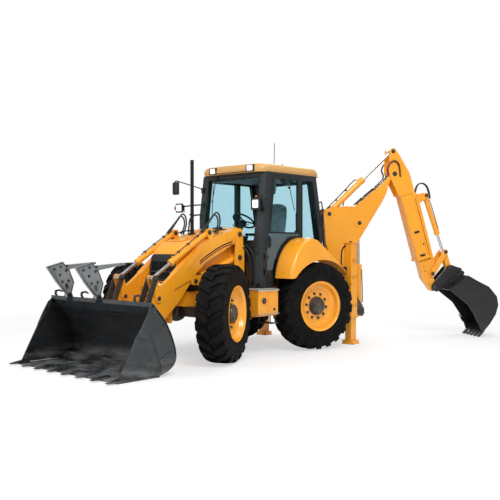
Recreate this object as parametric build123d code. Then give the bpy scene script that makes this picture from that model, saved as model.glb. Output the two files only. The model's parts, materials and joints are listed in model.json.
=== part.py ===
"""Backhoe loader: steered equal wheels, front loader with a split bucket, side-shift backhoe.

Axes in this file: +X forward, +Y left, +Z up, zero at the ground under the middle of the rear axle.
The whole machine is moved at the end, so that its overall box is centred on the origin.
The backhoe is drawn in its own upright plane: u away from the swing axis, w across, z up.
"""
from build123d import *
import math
import os

# ---- driving dimensions, mm and degrees -------------------------------------------------
wheelbase = 2200
track = 1880
tyre_radius = 710
tyre_width = 430
rim_radius = 356
rim_flange_radius = 385
rim_width = 400
kingpin_y = 700
front_steer = 26
rear_steer = -14
axle_height = tyre_radius

pin_fit = 0.5
side_fit = 0.6
plate = 20
panel = 40
skin = 12
glass = 6

frame_half = 300
rail_height = 200
rail_bottom = 800

arm_y = 380
arm_half = 35
arm_wide_half = 55
tower_gap = 5
loader_pivot = (1300, 1860)
bucket_pin = (3120, 380)
bucket_link_pin = (3200, 660)
rocker_pin = (2900, 940)
rocker_top = (2980, 1220)
tilt_base = (1920, 1880)
lift_base = (1300, 1500)
lift_eye = (2200, 1160)
cross_tube = (2800, 720)
jaw_pivot = (3600, 850)
fork_pivot = (3645, 975)
bucket_half = 1180
fork_y = (30, -670)

hood_half = 300
hood_rear = 1905
cowl_rear = 1165
nose_x = 2490

cab_half = 720
cab_floor = 1020
cab_sill = 1470
cab_top = 2850
cab_front = 1120
cab_rear = -570
rear_lean = 0.2
front_lean = 0.14
tub_half = 420
tub_front = 800
door_hinge = (1000, 735)

leg_x = -905
leg_y = 1000
leg_size = (180, 150)
leg_wall = 12
leg_top = 1730
leg_bottom = 450
swing_x = -1280
shift_y = 450
swing_angle = 35

foot = (180, 900)
boom_tip = (1050, 3000)
boom_ram_base = (400, 500)
boom_ram_eye = (380, 2100)
dipper_ram_base = (-190, 2260)
dipper_ram_eye = (1020, 3410)
dipper_angle = -74.4
dipper_depth = 260
dipper_half = 110
inner_half = 75
hoe_half = 300

pin_r = 30
big_pin_r = 35


# ---- shape helpers ----------------------------------------------------------------------
def slab(points, y0, y1):
    """A closed outline in X and Z, extruded across from y0 to y1."""
    outline = Polyline(*[(x, 0, z) for x, z in points], close=True)
    return Pos(0, min(y0, y1), 0) * extrude(make_face(outline), abs(y1 - y0), dir=(0, 1, 0))


def disc(at, r, y0, y1):
    """A round piece across the machine, centred at (x, z)."""
    return Pos(at[0], (y0 + y1) / 2, at[1]) * Rot(90, 0, 0) * Cylinder(r, abs(y1 - y0))


def block(x0, x1, y0, y1, z0, z1):
    """A box given by its two ends along each axis."""
    return Pos((x0 + x1) / 2, (y0 + y1) / 2, (z0 + z1) / 2) * Box(abs(x1 - x0), abs(y1 - y0),
            abs(z1 - z0))


def bar(p, q, rp, rq, y0, y1):
    """A flat link with rounded ends of radius rp and rq."""
    length = math.dist(p, q)
    ux, uz = (q[0] - p[0]) / length, (q[1] - p[1]) / length
    lean = (rp - rq) / length
    rise = math.sqrt(1 - lean * lean)
    left = (ux * lean - uz * rise, uz * lean + ux * rise)
    right = (ux * lean + uz * rise, uz * lean - ux * rise)
    web = slab([(p[0] + rp * left[0], p[1] + rp * left[1]),
                (q[0] + rq * left[0], q[1] + rq * left[1]),
                (q[0] + rq * right[0], q[1] + rq * right[1]),
                (p[0] + rp * right[0], p[1] + rp * right[1])], y0, y1)
    return web + disc(p, rp, y0, y1) + disc(q, rq, y0, y1)


def both_sides(piece):
    """A piece and its mirror image across the machine's middle plane."""
    return piece + mirror(piece, Plane.XZ)


def joined(pieces):
    """Several solids kept together in one node."""
    whole = pieces[0]
    for piece in pieces[1:]:
        whole = whole + piece
    return whole


def along(p, q, y):
    """The place at p, turned so that its X runs towards q."""
    angle = math.degrees(math.atan2(q[1] - p[1], q[0] - p[0]))
    return Pos(p[0], y, p[1]) * Rot(0, -angle, 0)


def rod_shape(length, r, start):
    """A round bar along X from start to length."""
    return Pos((start + length) / 2, 0, 0) * Rot(0, 90, 0) * Cylinder(r, abs(length - start))


def ram_barrel(p, q, y, reach, r, rod_r, eye_r, eye_half, pin):
    """Cylinder barrel pinned at p and pointing at q, with its mouth at reach."""
    tube = rod_shape(reach, r, eye_r + 15) + rod_shape(reach, r + 6, reach - 60)
    eye = disc((0, 0), eye_r, -eye_half, eye_half)
    neck = block(0, eye_r + 25, -eye_half, eye_half, -eye_r * 0.7, eye_r * 0.7)
    bore = rod_shape(reach + 1, rod_r + pin_fit, eye_r + 30)
    body = tube + eye + neck - bore - disc((0, 0), pin + pin_fit, -eye_half - 1, eye_half + 1)
    return along(p, q, y) * body


def ram_rod(p, q, y, start, rod_r, eye_r, eye_half, pin):
    """Piston rod from inside the barrel to its eye at q."""
    length = math.dist(p, q)
    eye = disc((length, 0), eye_r, -eye_half, eye_half)
    body = rod_shape(length - eye_r * 0.6, rod_r, start) + eye
    body -= disc((length, 0), pin + pin_fit, -eye_half - 1, eye_half + 1)
    return along(p, q, y) * body


def turned(point, about, degrees):
    """A point in plan turned about another."""
    a = math.radians(degrees)
    dx, dy = point[0] - about[0], point[1] - about[1]
    return (about[0] + dx * math.cos(a) - dy * math.sin(a), about[1] + dx * math.sin(a) + dy * math.cos(a))


nodes = {}


# ---- frame and axles ----------------------------------------------------------------------
def main_frame():
    """Two rails, cross members, front bumper and the two loader towers."""
    rear, front = leg_x + leg_size[0] / 2, 2560
    rail = block(rear, front, frame_half - 60, frame_half, rail_bottom, rail_bottom + rail_height)
    frame = rail + mirror(rail, Plane.XZ)
    rail_top = rail_bottom + rail_height
    for x, width, height in ((rear + 60, 120, 120), (650, 160, 60), (1300, 240, 100),
                             (front - 60, 120, 160)):
        frame += block(x - width / 2, x + width / 2, -frame_half, frame_half, rail_bottom,
                       rail_bottom + height)
    frame += block(front - 40, front + 20, -frame_half + 20, frame_half - 20, bumper_bottom, bumper_top)
    tow = block(front + 20, front + 90, -60, 60, bumper_bottom + 60, bumper_bottom + 120)
    tow -= Pos(front + 55, 0, bumper_bottom + 90) * Cylinder(tow_hole_r, 200)
    frame += tow
    base = block(1180, 1420, -465, 465, rail_top, rail_top + 60)
    frame += base - block(1179, 1421, -250, 250, rail_top, rail_top + 61)
    outline = [(1185, rail_top), (1420, rail_top), (1400, 1500), (1370, 1900), (1330, 1950),
               (1270, 1950),
               (1225, 1900)]
    for side in (1, -1):
        ear = [(front - 40, 900), (front - 40, 1050), (2450, 1120), (2410, 1115), (2410, 1080),
               (2450, 1060)]
        frame += slab(ear, side * 217, side * 232) + disc(hood_hinge, 12, side * 195, side * 236)
    for side in (1, -1):
        for inner in (arm_y - arm_wide_half - tower_gap - plate, arm_y + arm_wide_half + tower_gap):
            frame += slab(outline, side * inner, side * (inner + plate))
        for at in (loader_pivot, lift_base):
            a = arm_y - arm_wide_half - tower_gap - plate
            b = arm_y + arm_wide_half + tower_gap + plate
            frame += disc(at, big_pin_r, side * a, side * (b + 8))
        frame += block(1190, 1225, side * 300, side * 460, rail_top, 1700)
    for x in (0, wheelbase):
        frame += block(x - 130, x + 130, -frame_half, frame_half, axle_height + axle_box / 2,
                       rail_bottom)
    return frame


tow_hole_r = 22
bumper_bottom = 560
bumper_top = 1050
hood_hinge = (2430, 1100)
axle_box = 150
yoke_gap = 100


def axle(x):
    """Axle housing with a yoke above and below each kingpin."""
    body = block(x - 70, x + 70, -560, 560, axle_height - axle_box / 2, axle_height + axle_box / 2)
    body += Pos(x, 0, axle_height) * Sphere(165)
    body -= block(x - 200, x + 200, -200, 200, axle_height + axle_box / 2, axle_height + 300)
    for side in (1, -1):
        for z0 in (axle_height + yoke_gap + 5, axle_height - yoke_gap - 5 - 30):
            arm = block(x - 60, x + 60, side * 500, side * kingpin_y, z0, z0 + 30)
            body += arm + Pos(x, side * kingpin_y, z0 + 15) * Cylinder(60, 30)
        body += block(x - 60, x + 60, side * 490, side * 560,
                      axle_height - yoke_gap - 35, axle_height + yoke_gap + 35)
        for z in (axle_height + yoke_gap, axle_height - yoke_gap):
            body += Pos(x, side * kingpin_y, z) * Cylinder(28, 70)
    return body


def knuckle(x, side, steer):
    """Steering knuckle with its spindle, drawn straight and then steered."""
    hub_y = kingpin_y + 105
    body = Pos(0, 0, axle_height) * Cylinder(70, 2 * yoke_gap)
    body += Pos(0, side * 60, axle_height) * Box(120, 120, 150)
    spindle = disc((0, axle_height), 60, side * 40, side * (track / 2 - kingpin_y + 60))
    body += spindle
    for z in (axle_height + yoke_gap, axle_height - yoke_gap):
        body -= Pos(0, 0, z) * Cylinder(28 + pin_fit, 80)
    arm = block(-190, 0, side * -15, side * 15, axle_height - 60, axle_height - 35)
    body += arm
    return Pos(x, side * kingpin_y, 0) * Rot(0, 0, steer) * body


def wheel_profile(points, side):
    """A ring round the wheel's axis from (across, radius) points."""
    outline = Polyline(*[(side * a, r, 0) for a, r in points], close=True)
    ring = revolve(make_face(outline), Axis.X)
    return Rot(0, 0, 90) * ring


def tyre_ring():
    h = tyre_width / 2
    r = tyre_radius
    seat = rim_width / 2 - 11
    lip = rim_flange_radius + 2
    profile = [(-seat, rim_radius), (-seat, lip), (-h + 8, rim_radius + 75), (-h, r - 190),
               (-h + 10, r - 90),
               (-h + 24, r - 30), (-h + 60, r - 6), (0, r), (h - 60, r - 6), (h - 24, r - 30),
               (h - 10, r - 90), (h, r - 190), (h - 8, rim_radius + 75), (seat, lip), (seat, rim_radius)]
    return wheel_profile(profile, 1)


def rim_ring(side):
    h = rim_width / 2
    barrel = [(-h, rim_radius - 14), (-h, rim_flange_radius), (-h + 10, rim_flange_radius),
              (-h + 10, rim_radius),
              (h - 10, rim_radius), (h - 10, rim_flange_radius), (h, rim_flange_radius),
              (h, rim_radius - 14)]
    ring = wheel_profile(barrel, side)
    dish = [(30, 60 + pin_fit), (30, 175), (90, 230), (110, 300), (110, rim_radius - 14),
            (126, rim_radius - 14), (126, 292), (104, 220), (50, 165), (50, 60 + pin_fit)]
    ring += wheel_profile(dish, side)
    hub = [(-30, 60 + pin_fit), (-30, 110), (50, 150), (110, 140), (150, 95), (150, 0), (90, 0),
           (90, 60 + pin_fit)]
    ring += wheel_profile(hub, side)
    return ring


def wheel_place(x, side, steer):
    centre = turned((x, side * track / 2), (x, side * kingpin_y), steer)
    return Pos(centre[0], centre[1], axle_height) * Rot(0, 0, steer)


corners = (("front_left", wheelbase, 1, front_steer), ("front_right", wheelbase, -1, front_steer),
           ("rear_left", 0, 1, rear_steer), ("rear_right", 0, -1, rear_steer))


def running_gear():
    nodes["main_frame"] = main_frame()
    nodes["front_axle"] = axle(wheelbase)
    nodes["rear_axle"] = axle(0)
    for name, x, side, steer in corners:
        nodes[name + "_knuckle"] = knuckle(x, side, steer)
        nodes[name + "_tyre"] = wheel_place(x, side, steer) * tyre_ring()
        nodes[name + "_rim"] = wheel_place(x, side, steer) * rim_ring(side)


# ---- engine, hood and tanks -----------------------------------------------------------------
def cowl_shell():
    """Fixed rear part of the engine cover, open underneath."""
    outer = slab([(cowl_rear, 1140), (cowl_rear, 1980), (hood_rear - 8, 1817), (hood_rear - 8, 1140)],
                 -hood_half, hood_half)
    outer = fillet(outer.edges().filter_by(lambda e: abs(e.center().Y) > hood_half - 1
                                           and e.center().Z > 1850), 60)
    inner = slab([(cowl_rear - 1, 1100), (cowl_rear - 1, 1980 - skin), (hood_rear + 1, 1815 - skin),
                  (hood_rear + 1, 1100)], -hood_half + skin, hood_half - skin)
    inner = fillet(inner.edges().filter_by(lambda e: abs(e.center().Y) > hood_half - skin - 1
                                           and e.center().Z > 1850), 60 - skin)
    shell = outer - inner
    return shell - Pos(exhaust_x, exhaust_y, 1900) * Cylinder(exhaust_r + 15, 400)


exhaust_x = 1690
exhaust_y = -200
exhaust_r = 28


def hood_shell():
    """Tilting front part of the engine cover with its open nose."""
    line = [(hood_rear, 1140), (hood_rear, 1815), (2250, 1735), (2390, 1630), (2432, 1560),
            (nose_x, 1140)]
    outer = slab(line, -hood_half, hood_half)
    keep = outer.edges().filter_by(lambda e: abs(e.center().Y) > hood_half - 1 and e.center().Z > 1580)
    outer = fillet(keep, 60)
    inside = [(hood_rear - 1, 1139), (hood_rear - 1, 1815 - skin), (2250 - 4, 1735 - skin),
              (2390 - 9, 1630 - 8), (2432 - 12, 1560), (nose_x - skin, 1139)]
    inner = slab(inside, -hood_half + skin, hood_half - skin)
    keep = inner.edges().filter_by(lambda e: abs(e.center().Y) > hood_half - skin - 1
                                   and e.center().Z > 1580)
    inner = fillet(keep, 60 - skin)
    shell = outer - inner
    shell -= block(2400, 2600, -hood_half + 40, hood_half - 40, 1180, 1520)
    for side in (1, -1):
        ear = slab([(nose_x - 10, 1178), (nose_x - 4, 1140), (nose_x - 25, 1095), (nose_x - 60, 1075),
                    (nose_x - 85, 1100), (nose_x - 60, 1178)], side * 200, side * 215)
        shell += ear - disc(hood_hinge, 12 + pin_fit, side * 190, side * 220)
    return shell


def grille():
    """Panel set in the hood's nose."""
    slope = (nose_x - 2432) / (1560 - 1140)
    return slab([(nose_x - 8 - slope * 41, 1181), (nose_x - 24 - slope * 41, 1181),
                 (nose_x - 24 - slope * 379, 1519), (nose_x - 8 - slope * 379, 1519)],
                -hood_half + 41, hood_half - 41)


def exhaust():
    stack = Pos(exhaust_x, exhaust_y, (1500 + 3030) / 2) * Cylinder(exhaust_r, 3030 - 1500)
    stack -= Pos(exhaust_x, exhaust_y, 2960) * Cylinder(exhaust_r - 3, 300)
    return stack + Pos(exhaust_x, exhaust_y, 1500) * Cylinder(60, 200)


def side_tanks():
    """Fuel tank on the left and tool box on the right, each hung from the frame by two arms."""
    body = block(870, 1330, 560, 880, 600, 1010)
    body = fillet(body.edges().filter_by(Axis.X), 40)
    for x in (930, 1120):
        body += block(x, x + 60, frame_half, 570, 860, 900)
    return both_sides(body)


def engine_bay():
    engine = block(1480, 2330, -210, 210, rail_bottom, 1400)
    nodes["engine_block"] = engine
    nodes["engine_cowl"] = cowl_shell()
    nodes["hood"] = hood_shell()
    nodes["front_grille"] = grille()
    nodes["exhaust_stack"] = exhaust()
    nodes["side_tanks"] = side_tanks()


# ---- cab --------------------------------------------------------------------------------------
def cab_prism(inset, top, bottom):
    """The cab's outer form drawn in by inset: plan and side view crossed."""
    h = cab_half - inset
    f, r = cab_front - inset, cab_rear + inset
    plan = [(f, h - 90), (f - 80, h), (r + 100, h), (r, h - 120),
            (r, -h + 120), (r + 100, -h), (f - 80, -h), (f, -h + 90)]
    column = Pos(0, 0, bottom) * extrude(make_face(Polyline(*[(x, y, 0) for x, y in plan], close=True)),
                                         top - bottom)
    lean = slab([(r, bottom), (f, bottom), (f, 1600), (f - (top - 1600) * front_lean, top),
                 (r + (top - cab_sill) * rear_lean, top), (r, cab_sill)], -h - 1, h + 1)
    body = column & lean
    for side in (1, -1):
        body -= block(-700, tub_front + inset, side * (tub_half - inset), side * (cab_half + 50),
                      bottom - 10, cab_sill + inset)
    return body


door_top = 2800
door_low = 1850
screen_half = 585
screen_top = 2780
back_top = 2740


def door_front(z):
    """X of the door opening's leaning front edge at height z."""
    return 960 - max(0, z - 1600) * 135 / 1100


def door_outline(gap):
    """The side door's outline; gap draws it in all round, and more where it swings past the rear edge."""
    return [(960 - gap, 1100 + gap), (960 - gap, 1600), (door_front(door_top) - gap, door_top - gap),
            (140 + gap, door_top - gap), (140 + gap, door_low + gap), (300 + gap, door_low + gap),
            (448 + gap, 1803 + gap), (598 + 1.6 * gap, 1690 + gap), (700 + 2 * gap, 1562 + gap),
            (772 + 2.6 * gap, 1418), (812 + 2.8 * gap, 1300), (830 + 3 * gap, 1175),
            (835 + 3 * gap, 1100 + gap)]


def door_window(edge):
    low, high = door_low + edge, door_top - 40
    return [(door_front(low) - edge, low), (door_front(high) - edge, high), (140 + edge, high),
            (140 + edge, low)]


def rear_light(gap):
    """Outline of the side window behind the door."""
    return [(80 - gap, 1640 + gap), (80 - gap, 2760 - gap), (-205 + gap, 2760 - gap),
            (-430 + gap, 1640 + gap)]


def leaning_pane(x, low, high, half):
    """A pane in the cab's front or rear wall, given x of its outer face at those two heights."""
    inward = -glass if x[0] > 0 else glass
    return slab([(x[0], low), (x[0] + inward, low), (x[1] + inward, high), (x[1], high)], -half, half)


def cab_shell():
    shell = cab_prism(0, cab_top, cab_floor) - cab_prism(panel, cab_top + 20, cab_floor + panel)
    shell -= block(800, 1300, -screen_half, screen_half, 1760, screen_top)
    shell -= block(-700, -200, -540, 540, 1620, back_top)
    for side in (1, -1):
        shell -= slab(door_outline(0), side * (cab_half - 60), side * (cab_half + 10))
        shell -= slab(rear_light(0), side * (cab_half - 60), side * (cab_half + 10))
    for x in (-300, 600):
        shell += block(x - 60, x + 60, -frame_half, frame_half, rail_bottom + rail_height, cab_floor)
    return shell


def roof():
    """Roof cap with rounded edges and an overhang."""
    front, rear, half = cab_front - 60, -480, 715
    cap = block(rear, front, -half, half, cab_top, cab_top + 150)
    cap = fillet(cap.edges().filter_by(lambda e: abs(e.center().Z - cab_top - 75) < 1
                                       and e.center().X > 0), 230)
    cap = fillet(cap.edges().filter_by(lambda e: abs(e.center().Z - cab_top - 75) < 1
                                       and e.center().X < -470), 150)
    return fillet(cap.faces().sort_by(Axis.Z)[-1].edges(), 75)


def cab_glass():
    """Windscreen, rear window and the two rear side windows."""
    low, high = 1761, screen_top - 1
    front = [cab_front - 15 - (z - 1600) * front_lean for z in (low, high)]
    parts = [leaning_pane(front, low, high, screen_half - 1)]
    low, high = 1621, back_top - 1
    rear = [cab_rear + 15 + (z - cab_sill) * rear_lean for z in (low, high)]
    parts.append(leaning_pane(rear, low, high, 539))
    for side in (1, -1):
        parts.append(slab(rear_light(1), side * (cab_half - 22), side * (cab_half - 22 + glass)))
    return joined(parts)


def door(side):
    gap = 5
    leaf = slab(door_outline(gap), side * (cab_half - panel), side * cab_half)
    leaf -= slab(door_window(45), side * (cab_half - panel - 1), side * (cab_half + 1))
    for z in (1250, 1480):
        leaf += block(935, door_hinge[0], side * cab_half, side * (door_hinge[1] + 14), z, z + 50)
        leaf += Pos(door_hinge[0], side * door_hinge[1], z + 25) * Cylinder(14, 50)
        leaf -= Pos(door_hinge[0], side * door_hinge[1], z + 25) * Cylinder(8 + pin_fit, 60)
    return leaf


def hinge_pins():
    """Fixed halves of the door hinges on the front pillars."""
    pins = None
    for side in (1, -1):
        for z in (1250, 1480):
            pin = Pos(door_hinge[0], side * door_hinge[1], z + 25) * Cylinder(8, 110)
            for z0 in (z - 30, z + 55):
                pin += block(door_hinge[0] - 12, door_hinge[0] + 30, side * (cab_half - 45),
                             side * (door_hinge[1] + 14),
                             z0, z0 + 25)
            pins = pin if pins is None else pins + pin
    return pins


def door_pane(side):
    inner = door_window(46)
    return slab(inner, side * (cab_half - 22), side * (cab_half - 22 + glass))


def seat():
    body = block(60, 560, -250, 250, 1490, 1610) + block(-20, 110, -240, 240, 1560, 2250)
    return body + block(150, 450, -150, 150, cab_floor + panel, 1490)


def console():
    """Steering column, wheel and dash pedestal."""
    body = block(900, 1010, -190, 190, cab_floor + panel, 1640)
    column = Pos(860, 0, 1740) * Rot(0, -25, 0) * Cylinder(35, 330)
    wheel = Pos(790, 0, 1890) * Rot(0, -25, 0) * (Torus(190, 16) + Box(370, 30, 16) + Box(30, 370, 16))
    return body + column + wheel


def fender():
    """Mudguard over a rear wheel: a rounded shell, open to the tyre."""
    crown = [(790, 1170), (771, 1290), (735, 1400), (665, 1540), (570, 1660), (430, 1762), (270, 1812),
             (100, 1770), (-150, 1615), (-450, 1425), (-700, 1225), (-720, 1170)]
    outer = slab(crown, 745, 1100)
    rim = outer.edges().filter_by(lambda e: abs(e.center().Y - 1100) < 1 and e.center().Z > 1180)
    outer = fillet(rim, 50)
    low = [(790 - skin, 1100), (790 - skin, 1168), (771 - skin, 1286), (735 - 11, 1396),
           (665 - 10, 1533),
           (570 - 8, 1650), (430 - 5, 1750), (270, 1800), (100 + 3, 1758), (-150 + 5, 1603),
           (-450 + 6, 1412),
           (-700 + 9, 1218), (-700, 1100)]
    inner = slab(low, 745 + skin, 1100 - skin)
    rim = inner.edges().filter_by(lambda e: abs(e.center().Y - 1100 + skin) < 1 and e.center().Z > 1180)
    inner = fillet(rim, 50 - skin)
    arch = Pos(0, 900, axle_height) * Rot(90, 0, 0) * extrude(Ellipse(910, 755), 400, both=True)
    body = outer - inner - arch
    return body + block(300, 420, cab_half, 760, 1600, 1700)


def cab_group():
    nodes["cab_shell"] = cab_shell() + hinge_pins()
    nodes["cab_roof"] = roof()
    nodes["cab_glass"] = cab_glass()
    nodes["left_door"] = door(1)
    nodes["right_door"] = door(-1)
    nodes["left_door_glass"] = door_pane(1)
    nodes["right_door_glass"] = door_pane(-1)
    nodes["operator_seat"] = seat()
    nodes["steering_console"] = console()
    nodes["rear_fenders"] = both_sides(fender())


# ---- loader -----------------------------------------------------------------------------------
def loader_arms():
    """Two bent arms joined by a cross tube."""
    rear = [(1230, 1950), (1330, 1955), (1900, 1790), (2080, 1690), (2250, 1555), (2420, 1430),
            (2600, 1280), (2600, 1060), (2300, 1180),
            (2000, 1430), (1320, 1750), (1225, 1790)]
    front = [(2380, 1440), (2420, 1430), (2600, 1280), (2700, 1200), (2975, 1005), (3110, 720),
             (3190, 410), (3180, 330), (3090, 310),
             (3030, 350), (2820, 600), (2500, 880), (2250, 1180)]
    arm = slab(rear, arm_y - arm_wide_half, arm_y + arm_wide_half)
    arm += disc(loader_pivot, 95, arm_y - arm_wide_half, arm_y + arm_wide_half)
    arm += slab(front, arm_y - arm_half, arm_y + arm_half)
    arm += disc(bucket_pin, 80, arm_y - arm_half, arm_y + arm_half)
    arm += slab([(2080, 1250), (2330, 1250), (2270, 1110), (2140, 1100)], arm_y - 55, arm_y - 35)
    arm += slab([(2080, 1250), (2330, 1250), (2270, 1110), (2140, 1100)], arm_y + 35, arm_y + 55)
    arm -= block(2040, 2400, arm_y - 34.9, arm_y + 34.9, 1060, 1330)
    arm -= disc(loader_pivot, big_pin_r + pin_fit, arm_y - 60, arm_y + 60)
    arm -= disc(bucket_pin, big_pin_r + pin_fit, arm_y - 60, arm_y + 60)
    arm -= disc(rocker_pin, big_pin_r + pin_fit, arm_y - 60, arm_y + 60)
    for inner in (arm_y - arm_wide_half, arm_y + arm_wide_half - plate):
        arm += slab([(1850, 1780), (1868, 1930), (1950, 1935), (1960, 1860), (1930, 1770)], inner,
                    inner + plate)
    arm += disc(tilt_base, pin_r, arm_y - arm_wide_half, arm_y + arm_wide_half)
    tube = disc(cross_tube, 60, -arm_y + arm_half, arm_y - arm_half)
    return arm + mirror(arm, Plane.XZ) + tube


def loader_group():
    nodes["loader_arms"] = loader_arms()
    nodes["lift_barrels"] = both_sides(ram_barrel(lift_base, lift_eye, arm_y, 790, 48, 28, 62, 54,
                                                  big_pin_r))
    nodes["lift_rods"] = both_sides(ram_rod(lift_base, lift_eye, arm_y, 300, 28, 42, 34.3, pin_r))
    nodes["tilt_barrels"] = both_sides(ram_barrel(tilt_base, rocker_top, arm_y, 860, 44, 25, 50, 34,
                                                  pin_r))
    nodes["tilt_rods"] = both_sides(ram_rod(tilt_base, rocker_top, arm_y, 400, 25, 42, 34, pin_r))
    rockers, links = [], []
    for side in (1, -1):
        y = side * arm_y
        rocker = None
        for s in (1, -1):
            part = bar(rocker_pin, rocker_top, 60, 48, y + s * 40, y + s * 58)
            rocker = part if rocker is None else rocker + part
            stub = disc(rocker_top, pin_r, y + s * 34.6, y + s * 84)
            rocker += stub
        rocker += disc(rocker_pin, big_pin_r, y - 62, y + 62)
        rockers.append(rocker)
        for s in (1, -1):
            part = bar(rocker_top, bucket_link_pin, 46, 46, y + s * 63, y + s * 80)
            part -= disc(rocker_top, pin_r + pin_fit, y + s * 60, y + s * 82)
            links.append(part)
    nodes["tilt_rockers"] = joined(rockers)
    nodes["tilt_links"] = joined(links)
    nodes["bucket_back"] = bucket_back()
    nodes["bucket_jaw"] = bucket_jaw()
    nodes["pallet_forks"] = forks()


def bucket_back():
    """Rear half of the split bucket with its ears and fork shaft."""
    h = bucket_half - 30
    sheet = [(3600, 930), (3360, 667), (3200, 250), (3470, 25), (3474, 41), (3224, 258),
             (3378, 656), (3614, 914)]
    body = slab(sheet, -h, h)
    side_plate = [(3600, 930), (3360, 667), (3200, 250), (3470, 25), (3473, 141), (3690, 724),
                  (3640, 900)]
    for s in (1, -1):
        body += slab(side_plate, s * (h - plate), s * h)
        body += disc(jaw_pivot, big_pin_r, s * (h - plate), s * (h + 30))
    body += disc((3596, 925), 20, -h, h)
    ear = [(3080, 300), (3240, 245), (3370, 640), (3380, 700), (3230, 720), (3150, 690), (3050, 400)]
    for side in (1, -1):
        for s in (1, -1):
            y = side * arm_y + s * 85
            body += slab(ear, y, y + s * 18)
            body += disc(bucket_link_pin, pin_r, side * arm_y + s * 80.6, y)
        body += disc(bucket_pin, big_pin_r, side * arm_y - 103, side * arm_y + 103)
    for y in fork_y:
        for s in (1, -1):
            lug = [(3570, 900), (3620, 890), (3690, 960), (3670, 1010), (3610, 1005)]
            body += slab(lug, y + s * 25.6, y + s * 43)
        body += disc(fork_pivot, 18, y - 43, y + 43)
    return body


def bucket_jaw():
    """Front half of the bucket: floor, cheeks, cutting edge and teeth."""
    h = bucket_half - 30
    cheek = [(3480, 30), (3483, 141), (3700, 724), (3807, 607), (3840, 560), (4050, 163), (4120, 25)]
    floor = [(3488, 0), (3488, 20), (4000, 20), (4150, 12), (4150, 0)]
    body = slab(floor, -h, h)
    rear_lip = [(3488, 10), (3500, 10), (3512, 135), (3500, 140)]
    body += slab(rear_lip, -h, h)
    for s in (1, -1):
        body += slab(cheek, s * (h - plate), s * h)
        ear = [(3560, 800), (3560, 880), (3600, 905), (3660, 870), (3760, 700), (3840, 540),
               (3700, 500), (3640, 640)]
        body += slab(ear, s * (h + 1), s * (h + 25)) + slab([(3720, 660), (3790, 600), (3740, 560)],
                                                            s * h, s * (h + 2))
        body -= disc(jaw_pivot, big_pin_r + pin_fit, s * h, s * (h + 40))
    for i in range(8):
        y = (i - 3.5) * 322
        body += slab([(4000, 20), (4040, 52), (4150, 45), (4295, 28), (4295, 18), (4150, 12)], y - 30,
                     y + 30)
    return body


def forks():
    """Two flip-over forks standing on the bucket's top shaft."""
    leaf = [(3612, 965), (3560, 1160), (3640, 1340), (3745, 1452), (4000, 1385), (3850, 1180),
            (3678, 1000)]
    tine = [(3700, 1335), (3205, 1412), (3205, 1432), (3660, 1392), (3700, 1400)]
    parts = []
    for y in fork_y:
        body = slab(leaf, y - 25, y + 25) + disc(fork_pivot, 42, y - 25, y + 25) + slab(tine, y - 25,
                y + 25)
        parts.append(body - disc(fork_pivot, 18 + pin_fit, y - 30, y + 30))
    return joined(parts)


# ---- rear frame and stabilisers ------------------------------------------------------------------
rear_face = -1060
rail_levels = (450, 920)
rail_tall = 120


def sideshift_frame():
    """Two cross rails with an outer leg tube at each end."""
    front_face = leg_x + leg_size[0] / 2
    body = None
    for z in rail_levels:
        rail = block(rear_face, front_face, -leg_y, leg_y, z, z + rail_tall)
        body = rail if body is None else body + rail
    for side in (1, -1):
        body += block(leg_x - leg_size[0] / 2, front_face, side * (leg_y - leg_size[1] / 2),
                      side * (leg_y + leg_size[1] / 2), leg_bottom, leg_top)
        body += block(front_face - 40, front_face, side * 240, side * 300, rail_levels[0],
                      rail_levels[1] + rail_tall)
    for side in (1, -1):
        body -= block(leg_x - leg_size[0] / 2 + leg_wall, front_face - leg_wall,
                      side * (leg_y - leg_size[1] / 2 + leg_wall),
                       side * (leg_y + leg_size[1] / 2 - leg_wall),
                      leg_bottom - 100, leg_top - leg_wall)
    return body


def stabiliser(side):
    """Inner leg with its ground pad."""
    w, d = leg_size[0] / 2 - leg_wall - side_fit, leg_size[1] / 2 - leg_wall - side_fit
    leg = block(leg_x - w, leg_x + w, side * leg_y - d, side * leg_y + d, 60, 1280)
    leg -= block(leg_x - w + 12, leg_x + w - 12, side * leg_y - d + 12, side * leg_y + d - 12, 120, 1290)
    pad = block(leg_x - 105, leg_x + 105, side * leg_y - 115, side * leg_y + 115, 0, 60)
    return leg + fillet(pad.edges().filter_by(Axis.Z), 30)


# ---- backhoe ---------------------------------------------------------------------------------------
hoe_place = Pos(swing_x, shift_y, 0) * Rot(0, 0, 180 - swing_angle)
lug_r = 85
lug_low = (360, 420)
lug_high = (720, 780)


def carriage():
    """Slide plate on the rear rails with the two swing lugs."""
    x0, x1 = swing_x + 145, rear_face - side_fit
    body = block(x0, x1, shift_y - 260, shift_y + 260, 345, 1055)
    top = rail_levels[1] + rail_tall
    body += block(x0, rear_face + 70, shift_y - 260, shift_y + 260, top + side_fit, top + 35)
    body += block(x0, rear_face + 70, shift_y - 260, shift_y + 260, rail_levels[0] - 35,
                  rail_levels[0] - side_fit)
    body += block(x0, x1, shift_y - 260, shift_y + 260, rail_levels[0] - 35, top + 35)
    for z0, z1 in (lug_low, lug_high):
        body += block(swing_x, x0, shift_y - lug_r, shift_y + lug_r, z0, z1)
        body += Pos(swing_x, shift_y, (z0 + z1) / 2) * Cylinder(lug_r, z1 - z0)
    body += Pos(swing_x, shift_y, (lug_low[0] + lug_high[1]) / 2) * Cylinder(40,
            lug_high[1] - lug_low[0])
    return body


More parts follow.
